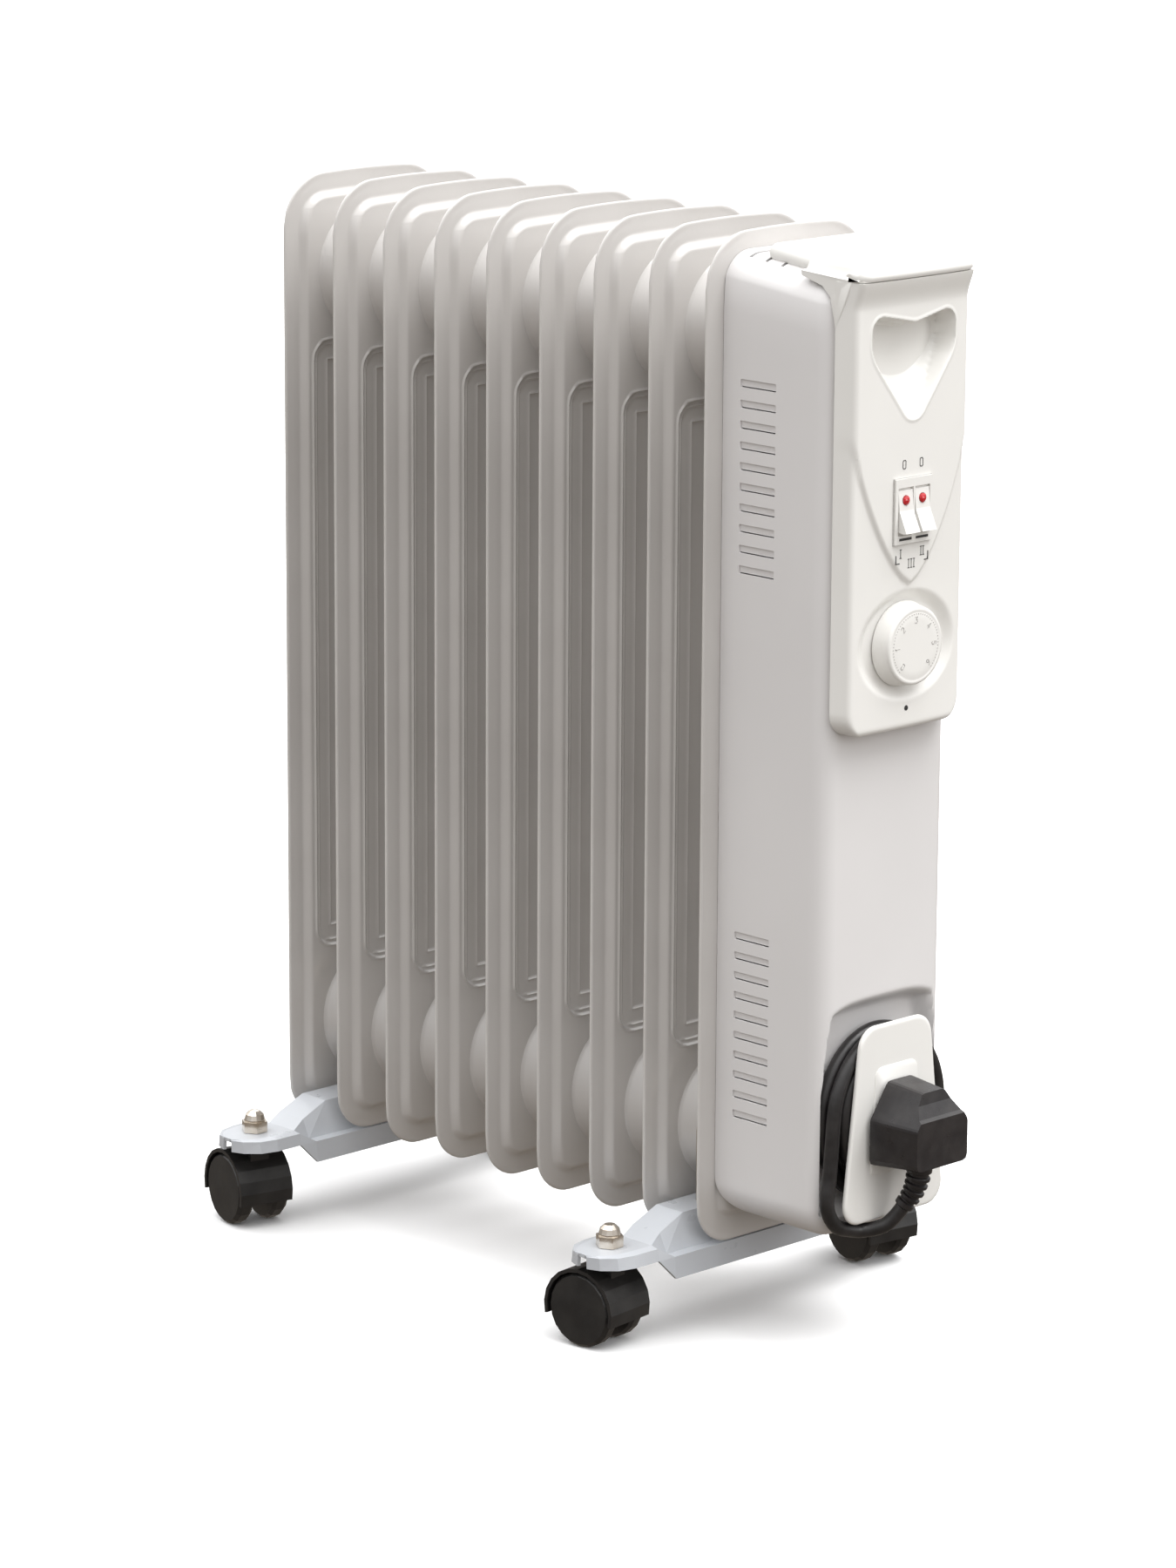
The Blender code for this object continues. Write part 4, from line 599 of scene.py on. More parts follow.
def fin_rows(low, high):
    ends = [step for step in EDGE_STEPS if step <= 20.2]
    rows = [low + step for step in ends] + [high - step for step in ends]
    for start, turn in ((low + CHANNEL_INSET_LOW, 1), (high - CHANNEL_INSET_HIGH, -1)):
        rows += [start + turn * step for step in CHANNEL_STEPS]
    rows += list(np.linspace(low + 30, low + CHANNEL_INSET_LOW - 10, 8))
    rows += list(np.linspace(high - 30, high - CHANNEL_INSET_HIGH + 10, 8))
    rows += list(np.linspace(low + CHANNEL_INSET_LOW + 30, high - CHANNEL_INSET_HIGH - 30, 10))
    return np.array(sorted(set(np.round(rows, 3))))


def fin_grid(low, high, flange):
    """Grid of (x, z, half thickness) over the fin's face."""
    z = fin_rows(low, high)
    half = outline_half(z, FIN_HALF, low, high, FIN_BOTTOM_RADIUS, FIN_TOP_RADIUS)
    steps = np.array(EDGE_STEPS)
    left = -half[:, None] + steps[None, :]
    inner = (half - steps[-1])[:, None] * np.linspace(-1, 1, 9)[None, 1:-1]
    x = np.concatenate([left, inner, -left[:, ::-1]], axis=1)
    zz = np.repeat(z[:, None], x.shape[1], axis=1)
    height = fin_height(x, zz, low, high, flange)
    crown = FIN_CROWN * (x / FIN_HALF) ** 2 * smooth_step(zz, high - 60, high)
    return x, zz - crown, height


def header_boss(side, header_z, reach):
    """One cone of a header, whose foot is sunk in the sheet."""
    profile = [(0, BULGE - 1.2), (40.8, BULGE - 1.2), (40.6, BULGE - 0.1), (39.9, BULGE + 0.35),
               (39.2, BULGE + 1.1), (38.7, BULGE + 2.1), (34.0, reach - 2.4), (33.5, reach - 1.1),
               (32.6, reach - 0.3), (31.4, reach), (0, reach)]
    return turned([(radius, side * along) for radius, along in profile], "Y", (0, 0, header_z), 64)


def fin_shape(low, high, reach, front_flange):
    rear, front = fin_grid(low, high, FIN_FLANGE), fin_grid(low, high, front_flange)
    rows, columns = rear[0].shape
    points = []
    for side, (x, z, height) in ((1, rear), (-1, front)):
        points += [(float(a), float(side * c), float(b))
                   for a, b, c in zip(x.ravel(), z.ravel(), height.ravel())]
    faces = grid_faces(rows, columns) + grid_faces(rows, columns, rows * columns)
    faces += strip(border(rows, columns), border(rows, columns, rows * columns))
    bosses = [header_boss(side, header_z, reach) for side in (1, -1)
              for header_z in (low + HEADER_INSET, high - HEADER_INSET)]
    return merged((points, faces), *bosses)


def add_fins():
    for number in range(1, FIN_COUNT + 1):
        low, high = box_mm(f"fin_{number}")
        reach = (high.y - low.y) / 2
        flange = COVERED_FLANGE if number == FIN_COUNT else FIN_FLANGE
        shape = fin_shape(low.z, high.z, reach, flange)
        make_piece(f"fin_{number}_pressed", *shape, "fin_enamel", replaces=[f"fin_{number}"], sharp=60,
                   offset=(0, (low.y + high.y) / 2, 0))


add_fins()

# ---------------------------------------------------------------- housing cover
COVER_LOW, COVER_HIGH = box_mm("housing_cover")
COVER_CORNER = 20.0
COVER_EDGE = 12.0
COVER_FALL = 9.0
COVER_SHEET = 1.2
STORE_DEPTH = 11.0
STORE_TOP, STORE_BOTTOM = 205.0, 83.0
SLOT_COUNT = 10
SLOT_PITCH = 11.55
SLOT_SIZE = (27.0, 4.6)
SLOT_ROWS = (549.0, 236.0)
VENT_COUNT, VENT_PITCH, VENT_SIZE = 3, 12, (80, 2.2)
REAR_CORNER_RADIUS = 24.0


def cover_fall(y, z):
    share = (COVER_HIGH.y - y) / (COVER_HIGH.y - COVER_LOW.y)
    return COVER_FALL * share * (z - COVER_LOW.z) / (COVER_HIGH.z - COVER_LOW.z)


def store_distance(x, z):
    """How far inside the outline of the recess for the wound lead each point is."""
    half = np.interp(z, [STORE_BOTTOM, 150, 185, 200, STORE_TOP], [48.5, 48.5, 44.5, 41.0, 38.0])
    side = (half - np.abs(x)) * 0.96
    top = STORE_TOP + 2.0 - (np.abs(x) / 42) ** 4 * 6 - z
    bottom = z - STORE_BOTTOM
    return np.minimum(np.minimum(side, top), bottom)


def cover_front(x, z):
    """The front surface, as a distance behind the flat front."""
    edge = inside_distance(x, z, COVER_HIGH.x, COVER_LOW.z, COVER_HIGH.z, COVER_CORNER, COVER_CORNER)
    gap = np.clip(COVER_EDGE - edge, 0, COVER_EDGE)
    rounded = COVER_EDGE - np.sqrt(np.maximum(COVER_EDGE ** 2 - gap ** 2, 0))
    store = STORE_DEPTH * smooth_step(store_distance(x, z), -1.5, 8.5)
    return np.maximum(rounded, store)


def add_cover():
    """The pressed shell, given its sheet's thickness and cut by the slots, the vents and a rear corner."""
    edge_steps = [0, 0.15, 0.6, 1.3, 2.2, 3.2, 4.4, 5.6, 7, 8.6, 10.2, 12]
    z = [COVER_LOW.z + s for s in edge_steps] + [COVER_HIGH.z - s for s in edge_steps]
    z += list(np.arange(COVER_LOW.z + 13.2, 222, 1.6)) + list(np.linspace(228, COVER_HIGH.z - 14, 24))
    z = np.array(sorted(z))
    half = outline_half(z, COVER_HIGH.x, COVER_LOW.z, COVER_HIGH.z, COVER_CORNER, COVER_CORNER)
    steps = np.array(edge_steps)
    left = -half[:, None] + steps[None, :]
    inner = (half - steps[-1])[:, None] * np.linspace(-1, 1, 42)[None, 1:-1]
    x = np.concatenate([left, inner, -left[:, ::-1]], axis=1)
    zz = np.repeat(z[:, None], x.shape[1], axis=1)
    y = COVER_LOW.y + cover_front(x, zz)
    rows, columns = x.shape
    points = [(float(a), float(b), float(c - cover_fall(b, c)))
              for a, b, c in zip(x.ravel(), y.ravel(), zz.ravel())]
    faces = grid_faces(rows, columns)
    edge = border(rows, columns)
    previous = edge
    for share in (0.25, 0.5, 0.75, 1.0):
        ring = []
        for index in edge:
            at_x, at_z = x.ravel()[index], zz.ravel()[index]
            from_y = COVER_LOW.y + COVER_EDGE
            at_y = from_y + (COVER_HIGH.y - from_y) * share
            ring.append(len(points))
            points.append((float(at_x), float(at_y), float(at_z - cover_fall(at_y, at_z))))
        faces += strip(previous, ring)
        previous = ring
    cover = make_piece("cover_shell", points, faces, "cover_enamel", replaces=["housing_cover"], sharp=35)
    sheet = cover.modifiers.new("sheet", "SOLIDIFY")
    sheet.thickness = COVER_SHEET * MM
    sheet.offset = -1
    sheet.use_even_offset = True
    for cutter in (rear_corner_cutter(), slot_cutter(), vent_cutter()):
        step = cover.modifiers.new("cut", "BOOLEAN")
        step.operation = "DIFFERENCE"
        step.object = cutter
        step.solver = "EXACT"
    apply_modifiers(cover)
    cover.data.set_sharp_from_angle(angle=math.radians(35))
    for cutter in [o for o in bpy.data.objects if o.get("cutter")]:
        bpy.data.objects.remove(cutter)


def cutter_object(name, points, faces):
    data = bpy.data.meshes.new(name)
    data.from_pydata([Vector(p) * MM for p in points], [], faces)
    shape = bmesh.new()
    shape.from_mesh(data)
    bmesh.ops.recalc_face_normals(shape, faces=shape.faces)
    shape.to_mesh(data)
    shape.free()
    obj = bpy.data.objects.new(name, data)
    bpy.context.scene.collection.objects.link(obj)
    obj["cutter"] = True
    obj.hide_render = True
    return obj


def rear_corner_cutter():
    radius, low, back = REAR_CORNER_RADIUS, COVER_LOW.z, COVER_HIGH.y
    quarter = [math.pi / 2 * k / 16 for k in range(17)]
    arc = [(back - radius + radius * math.sin(a), low + radius - radius * math.cos(a)) for a in quarter]
    outline = [(back - radius, low - 10), (back + 10, low - 10), (back + 10, low + radius)]
    return cutter_object("rear_corner_cutter", *prism(outline + arc[::-1], "X", -70, 70))


def slot_places():
    middle = COVER_HIGH.y - 27.0
    return [(middle, first - k * SLOT_PITCH) for first in SLOT_ROWS for k in range(SLOT_COUNT)]


def slot_cutter():
    length, height = SLOT_SIZE
    parts = []
    for y, z in slot_places():
        corners = rectangle(y - length / 2, z - height / 2, y + length / 2, z + height / 2)
        parts.append(prism(fillet([(u, v, 0.7) for u, v in corners], 3), "X", -60, 60))
    return cutter_object("slot_cutter", *merged(*parts))


def vent_cutter():
    half, tall = VENT_SIZE[0] / 2, VENT_SIZE[1] / 2
    middles = [COVER_HIGH.y - 9 - VENT_PITCH * k for k in range(VENT_COUNT)]
    parts = [prism(rectangle(-half, y - tall, half, y + tall), "Z", COVER_HIGH.z - 22, COVER_HIGH.z + 10)
             for y in middles]
    return cutter_object("vent_cutter", *merged(*parts))


def add_louvre_tongues():
    """Behind each slot the sheet is pushed in, which leaves a dark line along its lower edge."""
    length, height = SLOT_SIZE
    for side, word in ((-1, "left"), (1, "right")):
        parts = []
        for y, z in slot_places():
            outer = side * (COVER_HIGH.x - 0.7)
            inner = side * (COVER_HIGH.x - 1.3)
            high, low = z + height / 2 + 0.3, z - height / 2 + 0.55
            outline = [(outer, high), (inner, low), (inner - side * 0.6, low), (outer - side * 0.6, high)]
            parts.append(prism(outline, "Y", y - length / 2 - 0.2, y + length / 2 + 0.2))
        make_piece(f"louvre_tongues_{word}", *merged(*parts), "cover_enamel")


add_cover()
add_louvre_tongues()

# ---------------------------------------------------------------- control panel
PANEL_LOW, PANEL_HIGH = box_mm("control_panel")
PANEL_BACK = COVER_LOW.y - 0.3
PANEL_FACE = PANEL_BACK - 13.2      # lower surface of the panel, beside the raised field
PANEL_HALF_BACK, PANEL_HALF_FRONT = 47.4, 45.2
FIELD_RISE = 1.8
KNOB_Z = 407.8
LIP_LOW = 611.6
RECESS_OUTLINE = fillet([(0, 528.0, 9), (34.0, 572.0, 24), (32.0, 593.0, 8), (0, 586.5, 14),
                         (-32.0, 593.0, 8), (-34.0, 572.0, 24)], 10)
FIELD_HALF = 49.4
FIELD_SHOULDER, FIELD_TIP = 552.0, 442.5
PANEL_CORNER, PANEL_EDGE_RADIUS = 13.0, 3.4
DISH_HALVES, DISH_DEPTH = (39.5, 31.5), 4.6
RECESS_DEPTH = 23.0
LIP_FLARE = 5.0
CAP_STEPS = [39.0, 40.2, 41.2, 42.0, 42.8, 43.6, 44.6, 45.6, 46.4, 47.0, 47.2]
CAP_CORNER_RADIUS = 7.8


def field_outline():
    fall = FIELD_SHOULDER - FIELD_TIP
    edge = [(FIELD_HALF * (1 - (k / 30) ** 1.55) ** 0.72, FIELD_SHOULDER - fall * k / 30)
            for k in range(30)]
    right = [(60.0, 640.0), (60.0, FIELD_SHOULDER)] + edge
    return right + [(0.0, FIELD_TIP)] + [(-u, v) for u, v in reversed(right)]


def polygon_distance(x, z, outline):
    """How far inside a polygon each point is, negative outside it."""
    nearest = np.full(x.shape, 1e9)
    inside = np.zeros(x.shape, bool)
    for (ax, az), (bx, bz) in zip(outline, outline[1:] + outline[:1]):
        du, dv = bx - ax, bz - az
        share = np.clip(((x - ax) * du + (z - az) * dv) / (du ** 2 + dv ** 2 + 1e-9), 0, 1)
        nearest = np.minimum(nearest, np.hypot(x - ax - share * du, z - az - share * dv))
        if dv:
            inside ^= ((az > z) != (bz > z)) & (x < du * (z - az) / dv + ax)
    return np.where(inside, nearest, -nearest)


def dish_distance(x, z):
    """Roughly how far inside the oval dish round the knob each point is."""
    across, up = DISH_HALVES
    return (1 - np.sqrt((x / across) ** 2 + ((z - KNOB_Z) / up) ** 2)) * 33.0


def panel_depth(x, z):
    """How far behind the raised field's surface the front is."""
    depth = FIELD_RISE * (1 - smooth_step(polygon_distance(x, z, field_outline()), -1.6, 1.0))
    depth += DISH_DEPTH * smooth_step(dish_distance(x, z), 0.0, 7.5)
    recess = polygon_distance(x, z, RECESS_OUTLINE)
    bowl = RECESS_DEPTH * smooth_step(z, 524.0, 576.0) * smooth_step(recess, -0.2, 5.0) ** 0.8
    loose = recess > 2.4
    for _ in range(160):        # the bowl's floor relaxes to a smooth sheet held by its rim
        around = sum(np.roll(bowl, turn, axis) for axis in (0, 1) for turn in (1, -1)) / 4
        bowl = np.where(loose, around, bowl)
    depth += bowl
    depth -= 0.35 * bead(recess, -1.0, 1.2)
    depth -= LIP_FLARE * smooth_step(z, LIP_LOW - 16.0, LIP_LOW + 4.0)
    return depth


def front_skin():
    """The panel's front from its lower edge up to the lip, with its sides back to the cover."""
    face = PANEL_FACE - FIELD_RISE
    low, corner, edge_radius = PANEL_LOW.z, PANEL_CORNER, PANEL_EDGE_RADIUS
    z = np.array([low + step for step in (0, 0.3, 1, 2, 3.2, 4.6, 6.2, 8, 10, 13)]
                 + list(np.arange(low + 14.2, 520.0, 1.2)) + list(np.arange(520.0, LIP_LOW, 0.7))
                 + [LIP_LOW])
    steps = np.array([0, 0.3, 1, 2, 3.2, 4.6])
    share = np.concatenate([steps / 46 - 1, np.linspace(-0.87, 0.87, 118), 1 - steps[::-1] / 46])
    gap = np.clip(corner - (z - low), 0, corner)
    half = PANEL_HALF_FRONT - (corner - np.sqrt(corner ** 2 - gap ** 2))
    x = half[:, None] * share[None, :]
    zz = np.repeat(z[:, None], x.shape[1], axis=1)
    edge = np.minimum(half[:, None] - np.abs(x), zz - low)
    gap = np.clip(edge_radius - edge, 0, edge_radius)
    y = face + panel_depth(x, zz) + edge_radius - np.sqrt(edge_radius ** 2 - gap ** 2) + 1.6 * (x / 46) ** 2
    rows, columns = x.shape
    points = [(float(a), float(b), float(c)) for a, b, c in zip(x.ravel(), y.ravel(), zz.ravel())]
    faces = grid_faces(rows, columns)
    ring = border(rows, columns)
    previous = ring
    for share in (0.15, 0.5, 1.0):
        back = []
        for index in ring:
            px, py, pz = points[index]
            back.append(len(points))
            widen = 1 + (PANEL_HALF_BACK / PANEL_HALF_FRONT - 1) * share
            points.append((px * widen, py + (PANEL_BACK - py) * share, pz))
        faces += strip(previous, back)
        previous = back
    faces.append(tuple(previous))
    return points, faces


def cap_part():
    """The lip along the panel's top edge, with the rounded cap behind it."""
    face = PANEL_FACE - FIELD_RISE
    back = PANEL_HIGH.y
    front = [(face + 1.5, LIP_LOW - 0.4), (face - 2.6, LIP_LOW - 0.1), (face - 4.6, LIP_LOW + 0.6),
             (face - 5.4, LIP_LOW + 2.0), (face - 5.4, LIP_LOW + 3.8), (face - 4.6, LIP_LOW + 5.0),
             (face - 3.0, LIP_LOW + 5.3), (face - 1.8, LIP_LOW + 4.9), (face - 1.0, LIP_LOW + 3.9)]
    roll = [(face - 0.2, LIP_LOW + 4.4), (face + 2.4, LIP_LOW + 7.0), (face + 5.0, LIP_LOW + 8.4),
            (face + 8.5, LIP_LOW + 9.2), (face + 14.0, LIP_LOW + 9.7), (face + 24.0, LIP_LOW + 9.6),
            (back - 3.0, LIP_LOW + 8.8), (back - 0.6, LIP_LOW + 8.2)]
    tray_low, tray_high = LIP_LOW + 1.6, PANEL_HIGH.z - 2.8
    under = [(back, PANEL_HIGH.z - 3.4), (back, PANEL_HIGH.z - 4.4), (PANEL_BACK + 15.0, LIP_LOW + 1.0),
             (PANEL_BACK + 7.0, LIP_LOW + 0.2), (PANEL_BACK, LIP_LOW - 0.4)]
    skirt = [(back, PANEL_HIGH.z - 3.4), (back - 0.5, PANEL_HIGH.z - 6.0),
             (PANEL_BACK + 10.0, LIP_LOW - 3.4), (PANEL_BACK + 4.0, LIP_LOW - 9.0),
             (PANEL_BACK, LIP_LOW - 26.0)]
    rings = []
    for x in [*(-step for step in CAP_STEPS[::-1]), *np.linspace(-37, 37, 24), *CAP_STEPS]:
        ax = abs(x)
        gap = max(0.0, ax - 39.4)
        corner = CAP_CORNER_RADIUS - math.sqrt(max(CAP_CORNER_RADIUS ** 2 - gap ** 2, 0))
        bow = 1.6 * (x / 46) ** 2 + corner
        lifted = float(1 - smooth_step(ax, 40.4, 43.4)) ** 0.6
        soft = 0.5 * float(smooth_step(ax, 46.2, 47.2))
        ring = [(x, min(y + bow * (1 if y < face + 1.4 else 0.4), PANEL_BACK),
                 z - soft * (z > LIP_LOW + 3) + soft * (z < LIP_LOW + 1)) for y, z in front]
        for y, z in roll:
            tray = tray_low + (tray_high - tray_low) * (y - face) / (back - face)
            ring.append((x, y, tray + (z - tray) * lifted - soft))
        low = float(smooth_step(ax, 42.6, 44.2))
        ring += [(x, y + (ys - y) * low, z + (zs - z) * low) for (y, z), (ys, zs) in zip(under, skirt)]
        rings.append([(px * cap_half(py) / CAP_STEPS[-1], py, pz) for px, py, pz in ring])
    return loft(rings)


def cap_half(y):
    """Half width of the cap, which follows the draft of the panel's sides."""
    return PANEL_HALF_BACK - 1.6 * min(1.0, max(0.0, (PANEL_BACK - y) / 15.0))


def add_panel():
    make_piece("panel_moulding", *merged(front_skin(), cap_part()), "panel_plastic",
               replaces=["control_panel"], sharp=38)


add_panel()

# ---------------------------------------------------------------- grip pad
PAD_LOW, PAD_HIGH = box_mm("grip_pad")


def add_grip():
    """A bevelled pad with a rim round its stippled top."""
    half, rim = PAD_HIGH.x, 4.2
    slope = 1 / 9.0
    length = PAD_HIGH.y - PAD_LOW.y
    top = PAD_HIGH.z

    def ring(inset, rise):
        corners = rectangle(-half + inset, PAD_LOW.y + inset, half - inset, PAD_HIGH.y - inset)
        return [(u, v, top - (PAD_HIGH.y - v) * slope + rise)
                for u, v in fillet([(u, v, 3.2) for u, v in corners], 4)]

    levels = [(1.0, -8.6), (0.2, -7.4), (0.0, -5.0), (0.6, -2.6), (2.0, -0.6), (2.6, -0.2), (3.4, 0.0),
              (rim - 0.2, 0.0), (rim, -0.5)]
    body = loft([ring(inset, rise) for inset, rise in levels])
    make_piece("grip_body", *body, "panel_plastic", replaces=["grip_pad"], sharp=30)
    columns, rows = 112, 46
    wide, deep = half - rim - 0.1, length / 2 - rim - 0.1
    middle = (PAD_LOW.y + PAD_HIGH.y) / 2
    points = []
    for r in range(rows):
        for c in range(columns):
            x = -wide + 2 * wide * c / (columns - 1)
            y = middle - deep + 2 * deep * r / (rows - 1)
            edge = min(wide - abs(x), deep - abs(y - middle))
            grain = 0.32 * (math.sin(c * 2.4 + 1.3 * math.sin(r * 1.7))
                            * math.sin(r * 2.2 + 0.9 * math.sin(c * 1.1)))
            points.append((x, y, top - (PAD_HIGH.y - y) * slope - 0.3 + (grain if edge > 0.5 else -0.9)))
    faces = grid_faces(rows, columns)
    skirt = border(rows, columns)
    low = [len(points) + k for k in range(len(skirt))]
    points += [(points[index][0], points[index][1], points[index][2] - 1.2) for index in skirt]
    faces += strip(skirt, low) + [tuple(low)]
    make_piece("grip_stippled_top", points, faces, "grip_stipple", replaces=["grip_pad"],
               slot="panel_plastic", sharp=80)


add_grip()

# ---------------------------------------------------------------- thermostat knob with its printed dial
KNOB_LOW, KNOB_HIGH = box_mm("thermostat_knob")
KNOB_FACE = KNOB_LOW.y
DIAL_START_DEG, DIAL_SWEEP_DEG = 225, 270
DIAL_NUMBERS, NUMBER_RADIUS = 7, 14.6
DIAL_DOTS, DOT_RADIUS = 49, 18.0
INK_PROUD = 0.12
STROKES = {
    "0": [[(-1, 1.5), (-0.6, 2), (0.6, 2), (1, 1.5), (1, -1.5), (0.6, -2), (-0.6, -2), (-1, -1.5),
           (-1, 1.5)]],
    "1": [[(-0.7, 1.2), (0.1, 2), (0.1, -2)]],
    "2": [[(-1, 1.4), (-0.5, 2), (0.5, 2), (1, 1.3), (0.9, 0.5), (-1, -2), (1, -2)]],
    "3": [[(-1, 2), (1, 2), (0, 0.5), (0.8, 0.1), (1, -1), (0.4, -2), (-0.5, -2), (-1, -1.5)]],
    "4": [[(0.5, -2), (0.5, 2), (-1, -0.8), (1, -0.8)]],
    "5": [[(1, 2), (-0.8, 2), (-0.9, 0.3), (0.3, 0.5), (1, -0.3), (0.8, -1.6), (-0.2, -2), (-1, -1.6)]],
    "6": [[(0.8, 2), (-0.6, 0.8), (-1, -1), (-0.4, -2), (0.6, -2), (1, -0.9), (0.4, 0), (-0.9, -0.4)]],
    "I": [[(0, 2), (0, -2)], [(-0.45, 2), (0.45, 2)], [(-0.45, -2), (0.45, -2)]],
}


def stroke_mark(lines, centre, size, y, thick, turn=0.0):
    """A printed sign as thin raised bars, each closed, lying on a surface that faces -Y."""
    parts = []
    c, s = math.cos(turn), math.sin(turn)
    for line in lines:
        at = [(centre[0] + size * (u * c - v * s), centre[1] + size * (u * s + v * c)) for u, v in line]
        for (au, av), (bu, bv) in zip(at, at[1:]):
            long = math.hypot(bu - au, bv - av)
            du, dv = (bu - au) / long, (bv - av) / long
            half = thick / 2
            outline = [(au - du * half - dv * half, av - dv * half + du * half),
                       (au - du * half + dv * half, av - dv * half - du * half),
                       (bu + du * half + dv * half, bv + dv * half - du * half),
                       (bu + du * half - dv * half, bv + dv * half + du * half)]
            parts.append(prism(outline, "Y", y - INK_PROUD, y + 0.25))
    return merged(*parts)


def dial_place(index, count, radius):
    """Angle and (x, z) place of one of `count` marks spread over the dial's sweep."""
    angle = math.radians(DIAL_START_DEG - DIAL_SWEEP_DEG * index / (count - 1))
    return angle, (radius * math.cos(angle), KNOB_Z + radius * math.sin(angle))


def add_knob():
    back = KNOB_HIGH.y - KNOB_FACE
    profile = [(0, 0), (14, 0.0), (18.4, 0.05), (19.2, 0.25), (19.6, 0.1), (20.6, 0.1), (21.5, 0.5),
               (22.0, 1.3), (22.15, 2.4), (23.5, back - 1.6), (24.0, back - 0.7), (23.9, back), (0, back)]
    knob = turned(profile, "Y", (0, KNOB_FACE, KNOB_Z), 96)
    make_piece("knob_shell", *knob, "panel_plastic", body="knob", replaces=["thermostat_knob"], sharp=35)
    marks = []
    for number in range(DIAL_NUMBERS):
        angle, at = dial_place(number, DIAL_NUMBERS, NUMBER_RADIUS)
        marks.append(stroke_mark(STROKES[str(number)], at, 0.85, KNOB_FACE, 0.38, angle - math.pi / 2))
    dot = [(0, -INK_PROUD), (0.36, -INK_PROUD), (0.36, 0.2), (0, 0.2)]
    for step in range(DIAL_DOTS):
        _, at = dial_place(step, DIAL_DOTS, DOT_RADIUS)
        marks.append(turned(dot, "Y", (at[0], KNOB_FACE, at[1]), 8))
    make_piece("dial_print", *merged(*marks), "dial_ink", body="knob", replaces=["thermostat_knob"],
               slot="panel_plastic")


add_knob()


def add_marks():
    """Printed signs round the switches and the pointer dot under the knob."""
    y = PANEL_FACE - FIELD_RISE
    signs = [("0", x, 509.0, 1.15) for x in (-6.8, 6.8)]
    signs += [("I", x, 459.6, 1.2) for x in (-8.6, 7.6, 9.6)]
    signs += [("I", x, 453.6, 1.2) for x in (-2.1, 0.0, 2.1)]
    marks = [stroke_mark(STROKES[sign], (x, z), size, y, 0.40) for sign, x, z, size in signs]
    for side, x in ((-1, -10.6), (1, 11.6)):
        corner = [(side, 1.6), (side, -1), (-0.6 * side, -1)]
        marks.append(stroke_mark([corner], (x, 456.0), 1.7, y, 0.5))
    pointer = [(0, -0.35), (1.5, -0.35), (1.5, 0.8), (0, 0.8)]
    marks.append(turned(pointer, "Y", (0, PANEL_FACE + 0.25, 372.0), 24))
    make_piece("panel_print", *merged(*marks), "ink", slot="panel_plastic")


add_marks()


def add_switch_gaps():
    """Painted shade in the open ends of the rockers' wells, drawn as near-black slots, and the seam round
    the switch body.
    """
    low, high = box_mm("switch_body")
    # Painted shade: these near-black ink-coloured bars stand for the shade inside the open ends of the
    # rockers' wells.
    slots = [prism(rectangle(x - 4.9, 467.2, x + 4.9, 468.6), "Y", low.y - INK_PROUD, low.y + 0.4)
             for x in (-6.6, 6.6)]
    make_piece("switch_slots", *merged(*slots), "ink", slot="panel_plastic")
    half = high.x + 0.35
    bars = [rectangle(-half, high.z + 0.05, half, high.z + 0.45),
            rectangle(-half, low.z - 0.45, half, low.z - 0.05),
            rectangle(-half - 0.1, low.z, -half + 0.3, high.z),
            rectangle(half - 0.3, low.z, half + 0.1, high.z)]
    seam = [prism(bar, "Y", low.y + 1.2, low.y + 2.4) for bar in bars]
    make_piece("switch_seam", *merged(*seam), "dial_ink", slot="panel_plastic")


add_switch_gaps()


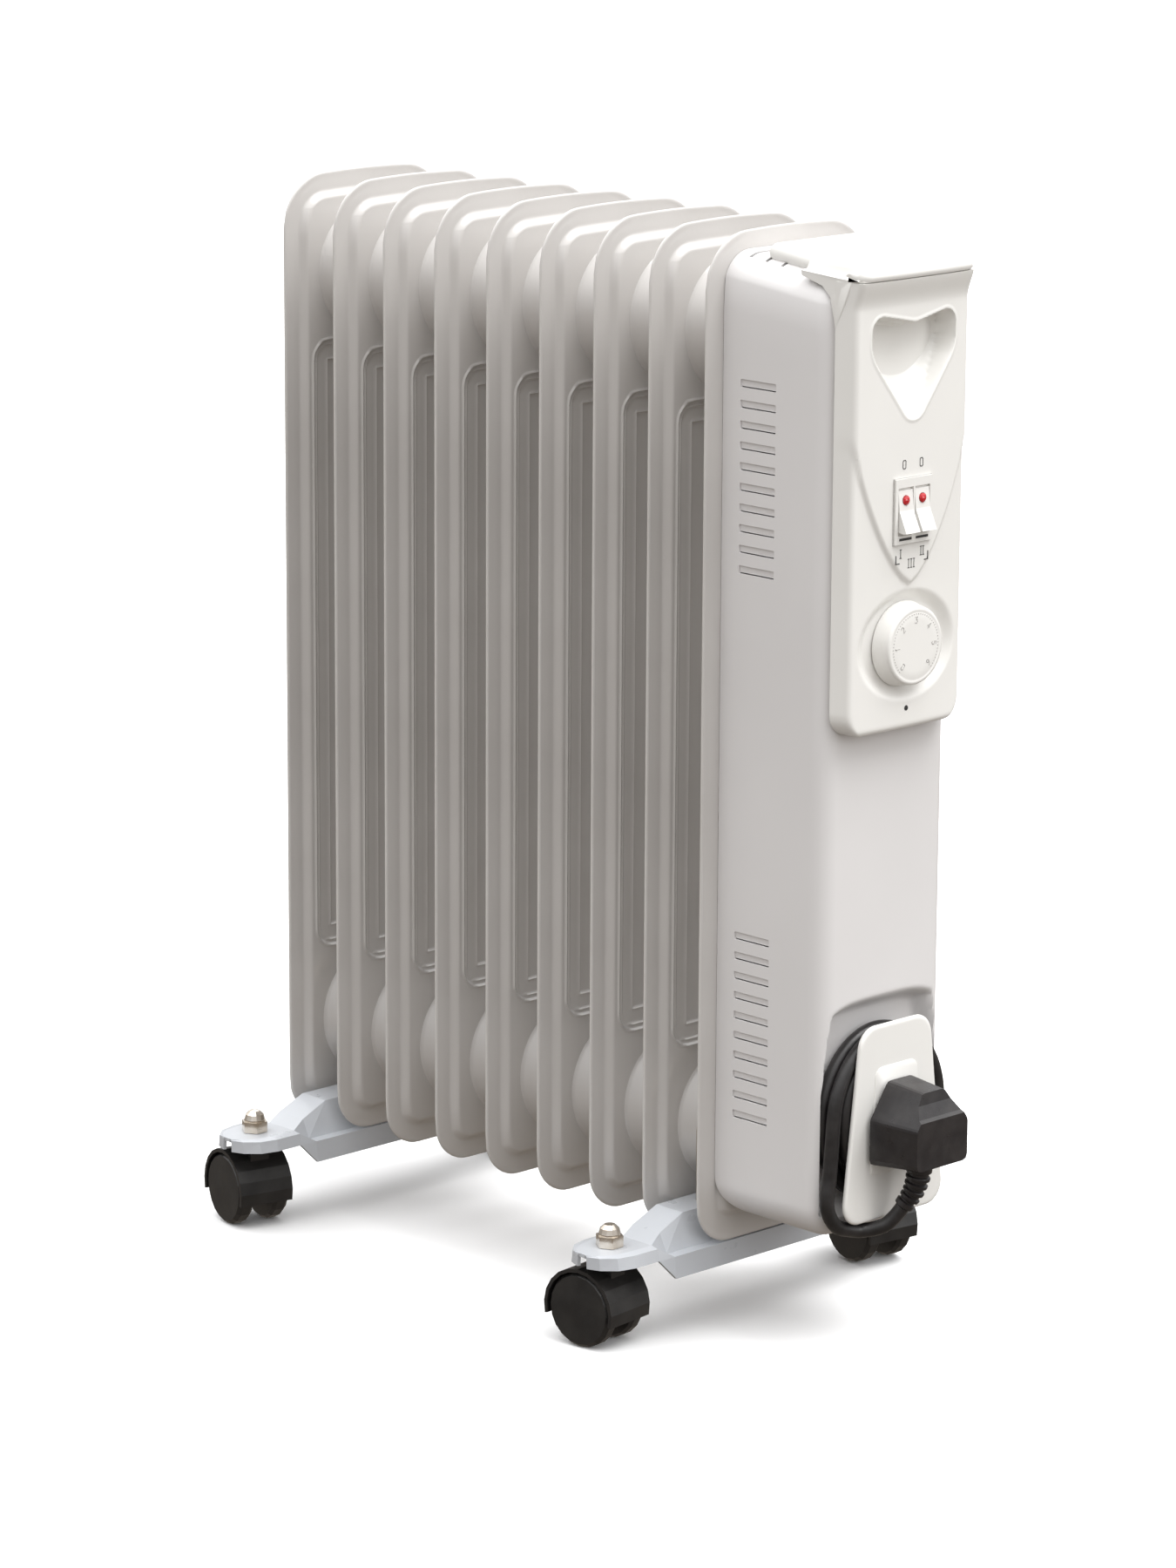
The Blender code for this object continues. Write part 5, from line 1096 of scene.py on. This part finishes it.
def add_winder_pad():
    """A flat raised pad on the winder's plate, behind the plug."""
    outline = fillet([(-20.0, 106.0, 3), (20.0, 106.0, 3), (17.0, 168.0, 6), (-17.0, 168.0, 6)], 6)
    inner = fillet([(-19.5, 106.5, 2.6), (19.5, 106.5, 2.6), (16.6, 167.5, 5.6), (-16.6, 167.5, 5.6)], 6)
    levels = [(outline, 0.4), (outline, -0.25), (inner, -0.55)]
    rings = [[(u, PLATE_FRONT + gap, v) for u, v in line] for line, gap in levels]
    make_piece("winder_pad", *loft(rings), "panel_plastic", sharp=50)


add_winder_pad()


# ---------------------------------------------------------------- winder plate
HUB_RADIUS, HUB_STRAIGHT, HUB_Z = 21.2, 6.0, 137.0


def add_winder_plate():
    low, high = PLATE_LOW.z, PLATE_HIGH.z
    wide, top = PLATE_HIGH.x, 28.0

    def ring(inset, y):
        narrow = top - inset * 0.8
        corners = fillet([(-wide + inset, low + inset, 12), (wide - inset, low + inset, 12),
                          (narrow, high - inset, 13), (-narrow, high - inset, 13)], 12)
        return [(u, y, v) for u, v in corners]

    plate = loft([ring(1.2, PLATE_BACK), ring(0.3, PLATE_BACK - 0.4), ring(0.0, PLATE_BACK - 1.2),
                  ring(0.1, PLATE_FRONT + 1.0), ring(0.5, PLATE_FRONT + 0.4), ring(1.3, PLATE_FRONT),
                  ring(2.4, PLATE_FRONT)])
    hub = []
    for degrees in range(0, 360, 8):
        c, s = math.cos(math.radians(degrees)), math.sin(math.radians(degrees))
        hub.append((HUB_RADIUS * c, HUB_Z + HUB_STRAIGHT * (1 if s >= 0 else -1) + HUB_RADIUS * s))
    hub_solid = prism(hub, "Y", PLATE_BACK - 0.5, COIL_HIGH.y + 1.0)
    make_piece("winder_moulding", *merged(plate, hub_solid), "panel_plastic", replaces=["cord_winder"],
               sharp=40)


add_winder_plate()

# ---------------------------------------------------------------- everything that keeps its CAD shape
CAD_LOOKS = {
    "element_gasket": "gasket_fibre", "wiring_loom": "wire_silicone", "thermostat_shaft": "brass",
    "plug_pin_line": "brass", "plug_pin_neutral": "brass", "plug_pin_earth": "brass",
}


def dress_cad_nodes():
    for entry in frame["record"]["subparts"]:
        node = frame["nodes"][entry["node"]]
        if node.hide_render:
            continue
        look = LOOKS[CAD_LOOKS.get(entry["node"], entry["material_slot"])]
        for slot in node.material_slots:
            slot.material = look


dress_cad_nodes()
